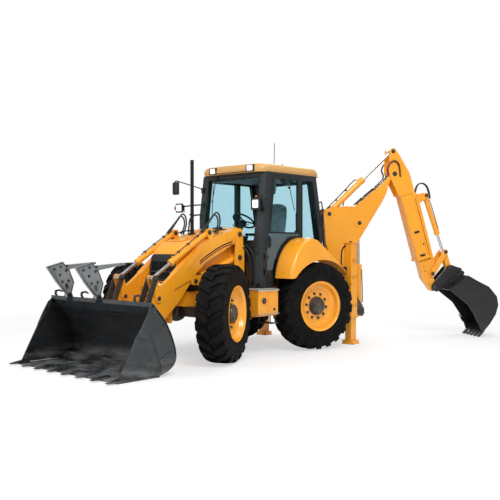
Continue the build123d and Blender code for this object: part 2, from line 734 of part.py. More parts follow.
def swing_post():
    """Casting that turns on the carriage and carries the boom and its ram."""
    low, high = lug_low[1] + side_fit, lug_high[0] - side_fit
    body = Pos(0, 0, (low + high) / 2) * Cylinder(110, high - low)
    body += block(0, 300, -135, 135, low, low + 60) + block(0, 120, -135, 135, low, high)
    ear = [(20, low), (20, high), (105, high), (105, 900), (130, 960), (180, 980), (235, 955),
           (300, 820),
           (460, 560), (465, 470), (430, low)]
    for s in (1, -1):
        body += slab(ear, s * 105, s * 135)
        body += disc(foot, big_pin_r, s * 105, s * 143)
        body += disc(boom_ram_base, big_pin_r, s * 105, s * 143)
    body += disc(foot, big_pin_r, -105, 105) + disc(boom_ram_base, big_pin_r, -105, 105)
    body -= disc(boom_ram_base, 90, -104, 104) - disc(boom_ram_base, big_pin_r, -105, 105)
    return body - Cylinder(40 + pin_fit, 2000)


def boom():
    """Bent boom: upright lower part, then out to the dipper pin."""
    outline = [(115, 830), (240, 830), (243, 1320), (285, 1500), (335, 1740), (505, 2010), (640, 2220),
               (775, 2430), (900, 2640), (930, 2740), (935, 2800), (985, 2905), (960, 2965), (775, 2775),
               (486, 2545), (300, 2395), (130, 2395), (-150, 2372), (-262, 2335), (-292, 2240),
               (-285, 2100), (-255, 1750), (-170, 1450), (60, 1050)]
    body = slab(outline, -100, 100)
    body += disc(foot, 75, -100, 100) + disc(boom_tip, 95, -100, 100)
    body -= disc(boom_ram_eye, 150, -51, 51)
    body -= slab([(266, 1290), (266, 2010), (290, 2050), (800, 2050), (800, 1290)], -72, 72)
    body -= block(-350, 120, -66, 66, 2120, 2520)
    body += disc(dipper_ram_base, pin_r, -100, 100)
    body -= disc(foot, big_pin_r + pin_fit, -101, 101) + disc(boom_tip, big_pin_r + pin_fit, -101, 101)
    return body


def dip(s, t):
    """A point s down the dipper and t outward from the boom tip, in the backhoe's plane."""
    a = math.radians(dipper_angle)
    return (boom_tip[0] + s * math.cos(a) - t * math.sin(a),
            boom_tip[1] + s * math.sin(a) + t * math.cos(a))


ram_head = (541, 524)
guide_at = (1963, 235)
link_at = (1645, 594)
hoe_pin_at = (2219, 215)
hoe_link_at = (1958, 610)
stick_in, stick_out = 10, 270
stick_end = 1665


def hoe_points():
    """Pivot points of the dipper's tools in the backhoe's plane."""
    return dip(*ram_head), dip(*guide_at), dip(*link_at), dip(*hoe_pin_at), dip(*hoe_link_at)


def dipper():
    """Outer dipper: two head plates and a hollow box."""
    head = [(-455, 30), (-455, 130), (-330, 180), (60, 290), (420, 290), (420, -20), (60, -95),
            (-60, -95)]
    body = None
    for s in (1, -1):
        part = slab([dip(*p) for p in head], s * 104, s * 124)
        body = part if body is None else body + part
    body += slab([dip(*p) for p in ((150, stick_in), (150, stick_out), (stick_end, stick_out),
                                    (stick_end, stick_in))],
                 -dipper_half, dipper_half)
    body -= slab([dip(*p) for p in ((210, stick_in + 30), (210, stick_out - 30),
                                    (stick_end + 10, stick_out - 30), (stick_end + 10, stick_in + 30))],
                 -inner_half - side_fit, inner_half + side_fit)
    body += disc(boom_tip, big_pin_r, -132, 132)
    eye_at = dipper_ram_eye
    for s in (1, -1):
        body += disc(eye_at, 55, s * 60.6, s * 124)
    return body


def extension():
    """Inner dipper with its ram carrier and tool pivots."""
    inset = 30 + side_fit
    box = [(230, stick_in + inset), (230, stick_out - inset), (2000, stick_out - inset), (2250, 290),
           (2300, 230), (2270, 150), (2000, stick_in + inset)]
    body = slab([dip(*p) for p in box], -inner_half, inner_half)
    body -= slab([dip(*p) for p in ((220, stick_in + inset + 15), (220, stick_out - inset - 15),
                                    (1640, stick_out - inset - 15), (1640, stick_in + inset + 15))],
                 -inner_half + 15, inner_half - 15)
    for s in (1, -1):
        carrier = [(470, 300), (480, 480), (520, 570), (590, 560), (640, 360), (1720, 350), (1900, 300),
                   (1900, 200),
                   (1690, 200), (1690, 300)]
        body += slab([dip(*p) for p in carrier], s * 55.6, s * 75)
    body += slab([dip(*p) for p in ((700, 300), (700, 320), (1700, 320), (1700, 300))], -60, 60)
    body += disc(dip(*ram_head), pin_r, -75, 75)
    body += disc(dip(*guide_at), pin_r, -120, 120)
    body -= disc(dip(*hoe_pin_at), big_pin_r + pin_fit, -76, 76)
    return body


def coupler():
    """Quick coupler between the dipper and the bucket."""
    a, u = dip(*hoe_pin_at), dip(*hoe_link_at)
    plate_line = [(a[0] - 60, a[1] - 40), (a[0] + 40, a[1] - 85), (a[0] + 420, a[1] + 110),
                  (a[0] + 560, a[1] + 230),
                  (a[0] + 540, a[1] + 350), (u[0] + 30, u[1] + 50), (u[0] - 45, u[1] + 40),
                  (a[0] - 50, a[1] + 50)]
    body = None
    for s in (1, -1):
        part = slab(plate_line, s * 80, s * 100)
        body = part if body is None else body + part
    body += disc(a, big_pin_r, -100, 100) + disc(u, pin_r, -100, -60.6) + disc(u, pin_r, 60.6, 100)
    body += slab([(a[0] + 200, a[1] - 0), (a[0] + 420, a[1] + 112), (a[0] + 560, a[1] + 230),
                  (a[0] + 545, a[1] + 330),
                  (a[0] + 500, a[1] + 330), (a[0] + 510, a[1] + 250), (a[0] + 400, a[1] + 160),
                  (a[0] + 190, a[1] + 50)],
                 -80, 80)
    return body


def hoe_bucket():
    """Digging bucket hung under the coupler."""
    a = dip(*hoe_pin_at)

    def at(du, dz):
        return (a[0] + du, a[1] + dz)

    outer = [at(190, -30), at(420, 100), at(570, 222), at(760, 120), at(990, 10), at(1150, -170),
             at(1180, -330),
             at(1130, -500), at(1000, -690), at(850, -850)]
    inner = [at(835, -835), at(985, -680), at(1112, -492), at(1160, -330), at(1132, -178), at(978, -8),
             at(752, 100), at(572, 198), at(430, 80), at(202, -48)]
    body = slab(outer + inner, -hoe_half, hoe_half)
    cheek = [at(190, -30), at(420, 100), at(570, 222), at(760, 120), at(990, 10), at(1150, -170),
             at(1180, -330),
             at(1130, -500), at(1000, -690), at(850, -850), at(760, -600), at(560, -310)]
    for s in (1, -1):
        body += slab(cheek, s * (hoe_half - 18), s * hoe_half)
    for i in range(5):
        y = (i - 2) * 135
        body += slab([at(825, -835), at(890, -790), at(785, -916), at(770, -906)], y - 25, y + 25)
    for s in (1, -1):
        body += slab([at(180, -35), at(420, 100), at(570, 222), at(560, 300), at(500, 310),
                      at(330, 150), at(170, 20)],
                     s * 106, s * 124)
    return body


def backhoe():
    head, guide, link, pin, tool = hoe_points()
    nodes["swing_post"] = hoe_place * swing_post()
    nodes["boom"] = hoe_place * boom()
    nodes["boom_barrel"] = hoe_place * ram_barrel(boom_ram_base, boom_ram_eye, 0, 850, 60, 35, 70, 60,
                                                  big_pin_r)
    nodes["boom_rod"] = hoe_place * ram_rod(boom_ram_base, boom_ram_eye, 0, 760, 35, 50, 49.4, pin_r)
    nodes["dipper"] = hoe_place * dipper()
    nodes["dipper_barrel"] = hoe_place * ram_barrel(dipper_ram_base, dipper_ram_eye, 0, 930, 55, 32, 55,
                                                    65.4, pin_r)
    nodes["dipper_rod"] = hoe_place * ram_rod(dipper_ram_base, dipper_ram_eye, 0, 745, 32, 55, 60, pin_r)
    nodes["extension"] = hoe_place * extension()
    nodes["hoe_bucket_barrel"] = hoe_place * ram_barrel(head, link, 0, 760, 45, 26, 50, 55, pin_r)
    nodes["hoe_bucket_rod"] = hoe_place * ram_rod(head, link, 0, 560, 26, 45, 35, pin_r)
    guides = []
    for s in (1, -1):
        part = bar(guide, link, 50, 46, s * 106, s * 120)
        part -= disc(guide, pin_r + pin_fit, s * 100, s * 122)
        guides.append(part)
    guides.append(disc(link, pin_r, 35.6, 106))
    guides.append(disc(link, pin_r, -106, -35.6))
    guide_body = guides[0]
    for part in guides[1:]:
        guide_body += part
    nodes["guide_link"] = hoe_place * guide_body
    ties = []
    for s in (1, -1):
        part = bar(link, tool, 46, 46, s * 42, s * 60)
        ties.append(part - disc(link, pin_r + pin_fit, s * 40, s * 62))
    nodes["bucket_link"] = hoe_place * joined(ties)
    nodes["quick_coupler"] = hoe_place * coupler()
    nodes["hoe_bucket"] = hoe_place * hoe_bucket()
    nodes["carriage"] = carriage()
    nodes["sideshift_frame"] = sideshift_frame()
    nodes["left_stabiliser"] = stabiliser(1)
    nodes["right_stabiliser"] = stabiliser(-1)


running_gear()
engine_bay()
cab_group()
loader_group()
backhoe()

# ---- whole machine ------------------------------------------------------------------------------
boxes = [shape.bounding_box() for shape in nodes.values()]
centre_x = (min(b.min.X for b in boxes) + max(b.max.X for b in boxes)) / 2
centre_y = (min(b.min.Y for b in boxes) + max(b.max.Y for b in boxes)) / 2
lowest = min(b.min.Z for b in boxes)

os.makedirs("parts", exist_ok=True)
for name, shape in nodes.items():
    export_step(Pos(-centre_x, -centre_y, -lowest) * shape, "parts/" + name + ".step")
print("centre", centre_x, centre_y, lowest, len(nodes))
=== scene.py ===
import bmesh
import bpy
import json
import math
import random
from mathutils import Matrix, Vector


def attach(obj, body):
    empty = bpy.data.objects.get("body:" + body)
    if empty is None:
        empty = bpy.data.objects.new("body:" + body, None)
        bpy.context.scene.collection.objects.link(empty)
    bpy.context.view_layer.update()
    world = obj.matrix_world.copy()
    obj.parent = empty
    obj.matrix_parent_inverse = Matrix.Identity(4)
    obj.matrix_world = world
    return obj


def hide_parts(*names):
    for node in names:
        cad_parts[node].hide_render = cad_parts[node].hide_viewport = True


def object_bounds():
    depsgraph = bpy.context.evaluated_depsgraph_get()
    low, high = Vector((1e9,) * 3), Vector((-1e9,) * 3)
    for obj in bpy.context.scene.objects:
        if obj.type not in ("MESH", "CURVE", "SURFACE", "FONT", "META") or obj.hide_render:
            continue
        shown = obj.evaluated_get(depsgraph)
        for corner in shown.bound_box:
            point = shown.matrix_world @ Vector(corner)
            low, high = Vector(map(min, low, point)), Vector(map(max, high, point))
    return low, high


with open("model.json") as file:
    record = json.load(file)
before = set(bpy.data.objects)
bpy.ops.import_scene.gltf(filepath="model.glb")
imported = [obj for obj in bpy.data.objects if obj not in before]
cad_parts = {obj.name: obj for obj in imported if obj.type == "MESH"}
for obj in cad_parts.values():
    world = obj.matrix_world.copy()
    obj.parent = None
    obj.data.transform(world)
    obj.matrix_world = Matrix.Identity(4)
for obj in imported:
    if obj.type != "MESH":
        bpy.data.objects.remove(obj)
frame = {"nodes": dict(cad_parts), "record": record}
cadLow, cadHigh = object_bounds()
nodes = frame["nodes"]
print("frame loaded:", len(nodes), "nodes")

# Places are given in mm from the ground under the middle of the rear axle.
towHole = next(m for m in frame["record"]["mounts"] if m["name"] == "tow_pin_hole")
origin = Vector(towHole["pos_m"]) - Vector((2.615, 0, 0.65))


def at(x, y, z):
    return origin + Vector((x, y, z)) / 1000


# The backhoe has its own upright plane: u away from the swing axis, w across, z up.
hoe = {"swingX": -1280, "shiftY": 450, "angle": 35, "boomTip": (1050, 3000), "dipperAngle": -74.4}
hoeCos = math.cos(math.radians(180 - hoe["angle"]))
hoeSin = math.sin(math.radians(180 - hoe["angle"]))


def hoeAt(u, w, z):
    return at(hoe["swingX"] + u * hoeCos - w * hoeSin, hoe["shiftY"] + u * hoeSin + w * hoeCos, z)


def dip(s, t):
    a = math.radians(hoe["dipperAngle"])
    return (hoe["boomTip"][0] + s * math.cos(a) - t * math.sin(a),
            hoe["boomTip"][1] + s * math.sin(a) + t * math.cos(a))


# Every finish is a node material. Tones are linear colours.
class Recipe:
    # A small helper round one node material.
    def __init__(self, name):
        self.mat = bpy.data.materials.new(name)
        self.mat.use_nodes = True
        self.tree = self.mat.node_tree
        self.shader = self.tree.nodes["Principled BSDF"]
        self.coord = self.tree.nodes.new("ShaderNodeTexCoord").outputs["Object"]

    def link(self, a, b):
        self.tree.links.new(a, b)

    def stretched(self, scale):
        n = self.tree.nodes.new("ShaderNodeMapping")
        n.inputs["Scale"].default_value = scale
        self.link(self.coord, n.inputs["Vector"])
        return n.outputs["Vector"]

    def noise(self, scale, detail=4, rough=0.55, vector=None):
        n = self.tree.nodes.new("ShaderNodeTexNoise")
        n.inputs["Scale"].default_value = scale
        n.inputs["Detail"].default_value = detail
        n.inputs["Roughness"].default_value = rough
        self.link(vector or self.coord, n.inputs["Vector"])
        return n.outputs["Fac"]

    def spread(self, value, low, high, toLow=0.0, toHigh=1.0):
        n = self.tree.nodes.new("ShaderNodeMapRange")
        n.inputs["From Min"].default_value = low
        n.inputs["From Max"].default_value = high
        n.inputs["To Min"].default_value = toLow
        n.inputs["To Max"].default_value = toHigh
        self.link(value, n.inputs["Value"])
        return n.outputs["Result"]

    def height(self):
        n = self.tree.nodes.new("ShaderNodeSeparateXYZ")
        self.link(self.coord, n.inputs[0])
        return n.outputs["Z"]

    def times(self, a, b):
        n = self.tree.nodes.new("ShaderNodeMath")
        n.operation = "MULTIPLY"
        for i, v in enumerate((a, b)):
            if isinstance(v, (int, float)):
                n.inputs[i].default_value = v
            else:
                self.link(v, n.inputs[i])
        return n.outputs[0]

    def blend(self, fac, a, b):
        n = self.tree.nodes.new("ShaderNodeMix")
        n.data_type = "RGBA"
        self.link(fac, n.inputs["Factor"])
        for socket, v in ((n.inputs[6], a), (n.inputs[7], b)):
            if isinstance(v, tuple):
                socket.default_value = (*v, 1)
            else:
                self.link(v, socket)
        return n.outputs[2]

    def bump(self, value, strength, distance):
        n = self.tree.nodes.new("ShaderNodeBump")
        n.inputs["Strength"].default_value = strength
        n.inputs["Distance"].default_value = distance
        self.link(value, n.inputs["Height"])
        self.link(n.outputs["Normal"], self.shader.inputs["Normal"])

    def put(self, **values):
        for key, v in values.items():
            socket = self.shader.inputs[key.replace("_", " ")]
            if hasattr(v, "links"):
                self.link(v, socket)
            elif isinstance(v, tuple):
                socket.default_value = (*v, 1)
            else:
                socket.default_value = v


paintLook = {"dust": (0.42, 0.30, 0.18), "dustTop": 1.5, "peel": 0.04}


def paint(name, dark, light, rough=(0.28, 0.42), dust=0.30, coat=0.35):
    r = Recipe(name)
    body = r.blend(r.spread(r.noise(1.3, 3), 0.35, 0.65), dark, light)
    low = r.spread(r.height(), 0.0, paintLook["dustTop"], 1.0, 0.12)
    dirt = r.times(r.times(r.spread(r.noise(7, 8, 0.65), 0.42, 0.75), low), dust)
    r.put(Base_Color=r.blend(dirt, body, paintLook["dust"]), Coat_Weight=coat, Coat_Roughness=0.12)
    r.put(Roughness=r.spread(r.noise(14, 6), 0.3, 0.7, *rough))
    r.bump(r.noise(420, 2), paintLook["peel"], 0.001)
    return r.mat


def steel(name, dark, light, bare=(0.30, 0.30, 0.31), wearTop=0.28, wear=0.8):
    # Dark work paint, scuffed along the ground and rubbed through to bare metal low down.
    r = Recipe(name)
    body = r.blend(r.spread(r.noise(3.5, 8, 0.6), 0.32, 0.7), dark, light)
    scratch = r.spread(r.noise(3.2, 12, 0.62, r.stretched((1.0, 1.0, 4))), 0.42, 0.74)
    low = r.spread(r.height(), 0.02, wearTop, 1.0, 0.05)
    rub = r.times(r.times(scratch, low), wear)
    r.put(Base_Color=r.blend(rub, body, bare), Metallic=r.times(rub, 0.7))
    r.put(Roughness=r.spread(r.noise(22, 6), 0.3, 0.7, 0.34, 0.60), Coat_Weight=0.1)
    r.bump(r.noise(60, 8, 0.6), 0.10, 0.002)
    return r.mat


def plastic(name, tone, rough=0.5, grain=600, depth=0.06):
    r = Recipe(name)
    r.put(Base_Color=r.blend(r.spread(r.noise(9, 5), 0.35, 0.65), tone,
                             tuple(c * 1.35 + 0.002 for c in tone)))
    r.put(Roughness=r.spread(r.noise(30, 4), 0.3, 0.7, rough - 0.07, rough + 0.07), Specular_IOR_Level=0.35)
    r.bump(r.noise(grain, 2), depth, 0.0006)
    return r.mat


def rubber(name):
    r = Recipe(name)
    dust = r.times(r.spread(r.noise(11, 9, 0.62), 0.40, 0.78), 0.5)
    r.put(Base_Color=r.blend(dust, (0.003, 0.003, 0.003), (0.022, 0.019, 0.017)))
    r.put(Roughness=r.spread(r.noise(40, 5), 0.3, 0.7, 0.52, 0.80), Specular_IOR_Level=0.10)
    r.bump(r.noise(160, 6, 0.6), 0.16, 0.0015)
    return r.mat


def chrome(name):
    r = Recipe(name)
    r.put(Base_Color=r.blend(r.spread(r.noise(6, 4), 0.3, 0.7), (0.62, 0.62, 0.63), (0.78, 0.78, 0.79)),
          Metallic=1.0)
    r.put(Roughness=r.spread(r.noise(25, 4), 0.3, 0.7, 0.10, 0.24))
    r.bump(r.noise(120, 4, 0.5, r.stretched((1, 1, 12))), 0.02, 0.0005)
    return r.mat


def pane(name):
    r = Recipe(name)
    tint = r.blend(r.spread(r.noise(0.8, 2), 0.3, 0.7), (0.35, 0.64, 0.73), (0.41, 0.70, 0.78))
    r.put(Base_Color=tint, Roughness=0.0, Alpha=0.55, Transmission_Weight=1.0, IOR=1.0)
    return r.mat


def lens(name, tone, paintedGlow=0.0):
    r = Recipe(name)
    r.put(Base_Color=r.blend(r.spread(r.noise(40, 3), 0.35, 0.65), tone,
                             tuple(min(1, c * 1.2) for c in tone)))
    # The emission is painted light: a glow that stands in for the bright reflection in the lens.
    r.put(Roughness=r.spread(r.noise(30, 2), 0.3, 0.7, 0.22, 0.34), Emission_Color=tone)
    r.put(Emission_Strength=paintedGlow)
    r.bump(r.noise(130, 0, 0.5, r.stretched((1, 1, 0.15))), 0.25, 0.002)
    return r.mat


def fabric(name, tone):
    r = Recipe(name)
    n = r.tree.nodes.new("ShaderNodeTexWave")
    n.inputs["Scale"].default_value = 160
    n.inputs["Distortion"].default_value = 1.5
    r.link(r.coord, n.inputs["Vector"])
    r.put(Base_Color=r.blend(r.spread(r.noise(12, 6), 0.3, 0.7), tone, tuple(c * 1.5 for c in tone)))
    r.put(Roughness=r.spread(r.noise(200, 2), 0.3, 0.7, 0.80, 0.95), Sheen_Weight=0.3)
    r.bump(n.outputs["Fac"], 0.2, 0.001)
    return r.mat


yellow = paint("yellowPaint", (0.86, 0.335, 0.010), (0.93, 0.385, 0.016))
roofYellow = paint("roofYellowPaint", (0.55, 0.30, 0.090), (0.61, 0.34, 0.110), (0.40, 0.55), 0.1, 0.15)
cabBlack = paint("cabBlackPaint", (0.005, 0.0085, 0.0105), (0.009, 0.015, 0.018), (0.42, 0.56), 0.0, 0.12)
doorGrey = paint("doorGreyPaint", (0.046, 0.088, 0.116), (0.062, 0.112, 0.144), (0.40, 0.52), 0.0, 0.12)
chassisBlack = paint("chassisBlackPaint", (0.012, 0.012, 0.012), (0.030, 0.029, 0.028), (0.45, 0.65), 0.35)
bucketSteel = steel("bucketSteel", (0.010, 0.013, 0.015), (0.023, 0.029, 0.033), wear=0.6)
# Near-black steel: on the bucket's inner faces and over the split between back and jaw it is painted shade;
# on the teeth and cutting edge it is their own dark steel. Low down it is rubbed bare as real wear.
darkEdgeSteelAndPaintedShade = steel("darkEdgeSteelAndPaintedShade", (0.003, 0.004, 0.005), (0.009, 0.011, 0.013), bare=(0.36, 0.37, 0.38),
                   wearTop=0.24, wear=0.7)
forkSteel = steel("forkSteel", (0.135, 0.150, 0.156), (0.245, 0.262, 0.268), wearTop=0.3, wear=0.3)
hoeSteel = steel("hoeSteel", (0.005, 0.005, 0.0055), (0.014, 0.0125, 0.0125), bare=(0.16, 0.14, 0.13),
                 wearTop=0.5, wear=0.5)
boltSteel = steel("boltSteel", (0.016, 0.014, 0.012), (0.038, 0.034, 0.030), wearTop=3.0, wear=0.35)
tyreRubber = rubber("tyreRubber")
hoseRubber = plastic("hoseRubber", (0.012, 0.012, 0.013), 0.45, 300, 0.1)
sealRubber = plastic("sealRubber", (0.008, 0.008, 0.009), 0.55)
rodChrome = chrome("rodChrome")
windowGlass = pane("windowGlass")
# Painted glow standing in for reflections: strong on the work lamp lenses, faint on the indicators and tail
# lamps.
lampLens = lens("lampLens", (0.80, 0.80, 0.78), 0.75)
amberLens = lens("amberLens", (0.45, 0.12, 0.01), 0.02)
redLens = lens("redLens", (0.45, 0.012, 0.010), 0.05)
mirrorFace = chrome("mirrorFace")
seatCloth = fabric("seatCloth", (0.130, 0.140, 0.140))
darkPlastic = plastic("darkPlastic", (0.009, 0.012, 0.014))
greyPlastic = plastic("greyPlastic", (0.060, 0.066, 0.070))
coolerBrown = plastic("coolerBrown", (0.030, 0.012, 0.008), 0.5, 90, 0.1)
hoseBrown = plastic("hoseBrown", (0.085, 0.010, 0.009), 0.4, 300, 0.1)
stackBlack = plastic("stackBlack", (0.002, 0.002, 0.0025), 0.72, 200, 0.05)
stripeRed = paint("stripeRed", (0.17, 0.012, 0.010), (0.22, 0.016, 0.012), dust=0.1)
stepPlate = steel("stepPlate", (0.35, 0.34, 0.31), (0.50, 0.48, 0.44), wearTop=2.0, wear=0.4)
print("materials made")


# Shapes are collected in mm and finished as one piece each.
def smoothLine(points, steps=6):
    # A smooth flat curve through the points.
    pts = [Vector((*p, 0)) for p in points]
    line = []
    for i in range(len(pts) - 1):
        p1, p2 = pts[i], pts[i + 1]
        p0 = pts[i - 1] if i else p1 * 2 - p2
        p3 = pts[i + 2] if i + 2 < len(pts) else p2 * 2 - p1
        for k in range(steps):
            t = k / steps
            q = 0.5 * (2 * p1 + (p2 - p0) * t + (2 * p0 - 5 * p1 + 4 * p2 - p3) * t * t
                       + (3 * p1 - p0 - 3 * p2 + p3) * t ** 3)
            line.append((q.x, q.y))
    return line + [(pts[-1].x, pts[-1].y)]


def beside(line, distance):
    # The same flat curve moved to its left.
    moved = []
    for i, p in enumerate(line):
        a, b = Vector(line[max(0, i - 1)]), Vector(line[min(len(line) - 1, i + 1)])
        d = (b - a).normalized()
        moved.append((p[0] - d.y * distance, p[1] + d.x * distance))
    return moved


class Shape:
    # Collects solids in one mesh; place turns (x, y, z) in mm into the row frame.
    def __init__(self, place=at):
        self.bm = bmesh.new()
        self.place = place

    def add(self, points, faces):
        verts = [self.bm.verts.new(self.place(*p)) for p in points]
        made = []
        for f in faces:
            try:
                made.append(self.bm.faces.new([verts[i] for i in f]))
            except ValueError:
                pass
        return verts

    def box(self, x0, x1, y0, y1, z0, z1):
        self.add([(x, y, z) for z in (z0, z1) for y in (y0, y1) for x in (x0, x1)],
                 [(0, 2, 3, 1), (4, 5, 7, 6), (0, 1, 5, 4), (2, 6, 7, 3), (0, 4, 6, 2), (1, 3, 7, 5)])

    def prism(self, outline, y0, y1):
        # An outline in x and z, thickened from y0 to y1.
        n = len(outline)
        self.add([(x, y, z) for y in (y0, y1) for x, z in outline],
                 [tuple(range(n)), tuple(range(2 * n - 1, n - 1, -1))]
                 + [(i, i + n, (i + 1) % n + n, (i + 1) % n) for i in range(n)])

    def column(self, outline, z0, z1):
        # An outline in x and y, raised from z0 to z1.
        n = len(outline)
        self.add([(x, y, z) for z in (z0, z1) for x, y in outline],
                 [tuple(range(n - 1, -1, -1)), tuple(range(n, 2 * n))]
                 + [(i, (i + 1) % n, (i + 1) % n + n, i + n) for i in range(n)])

    def turn(self, centre, axis, profile, sides=32, closed=False, start=0.0):
        # Spins (along, radius) points round an axis through centre.
        c, d = Vector(centre), Vector(axis).normalized()
        u = d.orthogonal().normalized()
        v = d.cross(u)
        points, faces = [], []
        rings = len(profile)
        for a, r in profile:
            for k in range(sides):
                t = start + 2 * math.pi * k / sides
                points.append(c + d * a + (u * math.cos(t) + v * math.sin(t)) * r)
        for i in range(rings if closed else rings - 1):
            j = (i + 1) % rings
            for k in range(sides):
                m = (k + 1) % sides
                faces.append((i * sides + k, i * sides + m, j * sides + m, j * sides + k))
        if not closed:
            faces.append(tuple(range(sides - 1, -1, -1)))
            faces.append(tuple((rings - 1) * sides + k for k in range(sides)))
        self.add(points, faces)

    def rod(self, p, q, r, sides=20, chamfer=0.0):
        p, q = Vector(p), Vector(q)
        length = (q - p).length
        profile = [(0, r), (length, r)]
        if chamfer:
            profile = [(0, r - chamfer), (chamfer, r), (length - chamfer, r), (length, r - chamfer)]
        self.turn(p, q - p, profile, sides)

    def hexHead(self, p, axis, r, h):
        self.turn(p, axis, [(0, r), (h * 0.8, r), (h, r * 0.88)], 6)

    def tube(self, path, r, sides=10, steps=8, close=False):
        # A round tube on a smooth curve through the points.
        pts = [Vector(p) for p in path]
        n = len(pts)
        line = []
        for i in range(n if close else n - 1):
            p0 = pts[(i - 1) % n] if close or i > 0 else pts[0] * 2 - pts[1]
            p1, p2 = pts[i], pts[(i + 1) % n]
            p3 = pts[(i + 2) % n] if close or i + 2 < n else p2 * 2 - p1
            for k in range(steps):
                t = k / steps
                line.append(0.5 * (2 * p1 + (p2 - p0) * t + (2 * p0 - 5 * p1 + 4 * p2 - p3) * t * t
                                   + (3 * p1 - p0 - 3 * p2 + p3) * t ** 3))
        if not close:
            line.append(pts[-1])
        self.sweep(line, r, sides, close)

    def sweep(self, line, r, sides=10, close=False):
        m = len(line)
        ahead = (line[1] - line[0]).normalized()
        side = ahead.orthogonal().normalized()
        points, faces = [], []
        for i, p in enumerate(line):
            before = line[i - 1] if i or close else p
            after = line[(i + 1) % m] if i + 1 < m or close else p
            ahead = (after - before).normalized()
            side = (side - ahead * side.dot(ahead)).normalized()
            up = ahead.cross(side)
            for k in range(sides):
                t = 2 * math.pi * k / sides
                points.append(p + (side * math.cos(t) + up * math.sin(t)) * r)
        for i in range(m if close else m - 1):
            j = (i + 1) % m
            for k in range(sides):
                n = (k + 1) % sides
                faces.append((i * sides + k, i * sides + n, j * sides + n, j * sides + k))
        if not close:
            faces.append(tuple(range(sides - 1, -1, -1)))
            faces.append(tuple((m - 1) * sides + k for k in range(sides)))
        self.add(points, faces)

    def finish(self, name, material, body, bevel=2.0, slot=None, angle=32, replaces=(), levels=0):
        bmesh.ops.recalc_face_normals(self.bm, faces=self.bm.faces)
        mesh = bpy.data.meshes.new(name)
        self.bm.to_mesh(mesh)
        self.bm.free()
        piece = bpy.data.objects.new(name, mesh)
        bpy.context.scene.collection.objects.link(piece)
        mesh.materials.append(material)
        mesh.polygons.foreach_set("use_smooth", [True] * len(mesh.polygons))
        mesh.set_sharp_from_angle(angle=math.radians(angle))
        if levels:
            m = piece.modifiers.new("rounder", "SUBSURF")
            m.levels = m.render_levels = levels
        if bevel:
            m = piece.modifiers.new("edges", "BEVEL")
            m.width = bevel / 1000
            m.segments = 2
            m.limit_method = "ANGLE"
            m.angle_limit = math.radians(angle)
            m.harden_normals = True
        if replaces:
            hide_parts(*replaces)
        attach(piece, body)
        return piece


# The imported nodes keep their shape, and get rounded edges and a finish.
finishes = {
    yellow: ["hood", "engine_cowl", "rear_fenders", "side_tanks", "loader_arms", "tilt_rockers",
             "lift_barrels", "tilt_barrels", "sideshift_frame", "left_stabiliser", "right_stabiliser",
             "boom", "dipper", "extension", "guide_link", "bucket_link", "boom_barrel", "dipper_barrel",
             "hoe_bucket_barrel", "main_frame"],
    cabBlack: ["cab_shell", "left_door", "right_door"],
    chassisBlack: ["front_axle", "rear_axle", "front_left_knuckle", "front_right_knuckle",
                   "rear_left_knuckle", "rear_right_knuckle", "engine_block", "carriage", "swing_post",
                   "tilt_links"],
    stackBlack: ["exhaust_stack"],
    bucketSteel: ["bucket_jaw"],
    hoeSteel: ["hoe_bucket", "quick_coupler"],
    forkSteel: ["pallet_forks"],
    rodChrome: ["lift_rods", "tilt_rods", "boom_rod", "dipper_rod", "hoe_bucket_rod"],
    darkPlastic: ["front_grille", "steering_console"],
    windowGlass: ["cab_glass", "left_door_glass", "right_door_glass"],
    seatCloth: ["operator_seat"],
}
sharpNodes = {"cab_glass", "left_door_glass", "right_door_glass"}


def dressNode(node, material):
    mesh = node.data
    for layer in [a for a in mesh.attributes if a.name == "custom_normal"]:
        mesh.attributes.remove(layer)
    mesh.materials.clear()
    mesh.materials.append(material)
    mesh.polygons.foreach_set("use_smooth", [True] * len(mesh.polygons))
    mesh.polygons.foreach_set("material_index", [0] * len(mesh.polygons))
    weld = node.modifiers.new("weld", "WELD")
    weld.merge_threshold = 0.00002
    flat = node.modifiers.new("flat", "DECIMATE")
    flat.decimate_type = "DISSOLVE"
    flat.angle_limit = math.radians(0.6)
    if node.name not in sharpNodes:
        soft = node.modifiers.new("edges", "BEVEL")
        soft.width = 0.0035
        soft.segments = 2
        soft.limit_method = "ANGLE"
        soft.angle_limit = math.radians(30)
        soft.harden_normals = True


for material, names in finishes.items():
    for name in names:
        dressNode(nodes[name], material)
print("nodes dressed")


# Wheels: treads, hubs, bolts and knuckle details.
wheel = {"lugs": 21, "rimLip": 402, "nuts": 10, "nutCircle": 200, "kingpin": 700, "reach": 240}
corners = (("front_left", 2200, 1, 26), ("front_right", 2200, -1, 26), ("rear_left", 0, 1, -14),
           ("rear_right", 0, -1, -14))

# Tyre surface and lugs as (across, radius); a lug row also has the foot's radius,
# its lag and half width in degrees.
carcassLine = [(60, 678), (120, 673), (165, 660), (190, 634), (202, 600), (207, 560), (208, 520), (209, 505),
               (206, 500), (206, 470), (208, 462), (208, 448), (203, 440), (199, 418), (201, 408), (196, 398),
               (188, 392)]
lugLine = [(-6, 708, 668, 0.0, 3.2), (60, 708, 668, 3.0, 3.5), (120, 705, 664, 6.6, 3.9),
           (172, 694, 650, 9.6, 4.3), (198, 668, 625, 11.0, 4.5), (208, 625, 600, 11.6, 4.3),
           (208, 583, 560, 12.2, 3.6), (205, 560, 552, 12.4, 3.0)]


def wheelPlace(x, side, turnDegrees):
    # The wheel's own frame: x ahead, y outward along the axle, z up.
    a = math.radians(turnDegrees)
    ahead = Vector((math.cos(a), math.sin(a), 0))
    out = Vector((-math.sin(a), math.cos(a), 0)) * side
    mid = at(x, side * wheel["kingpin"], 710) + out * wheel["reach"] / 1000
    return lambda px, py, pz: mid + (ahead * px + out * py + Vector((0, 0, 1)) * pz) / 1000


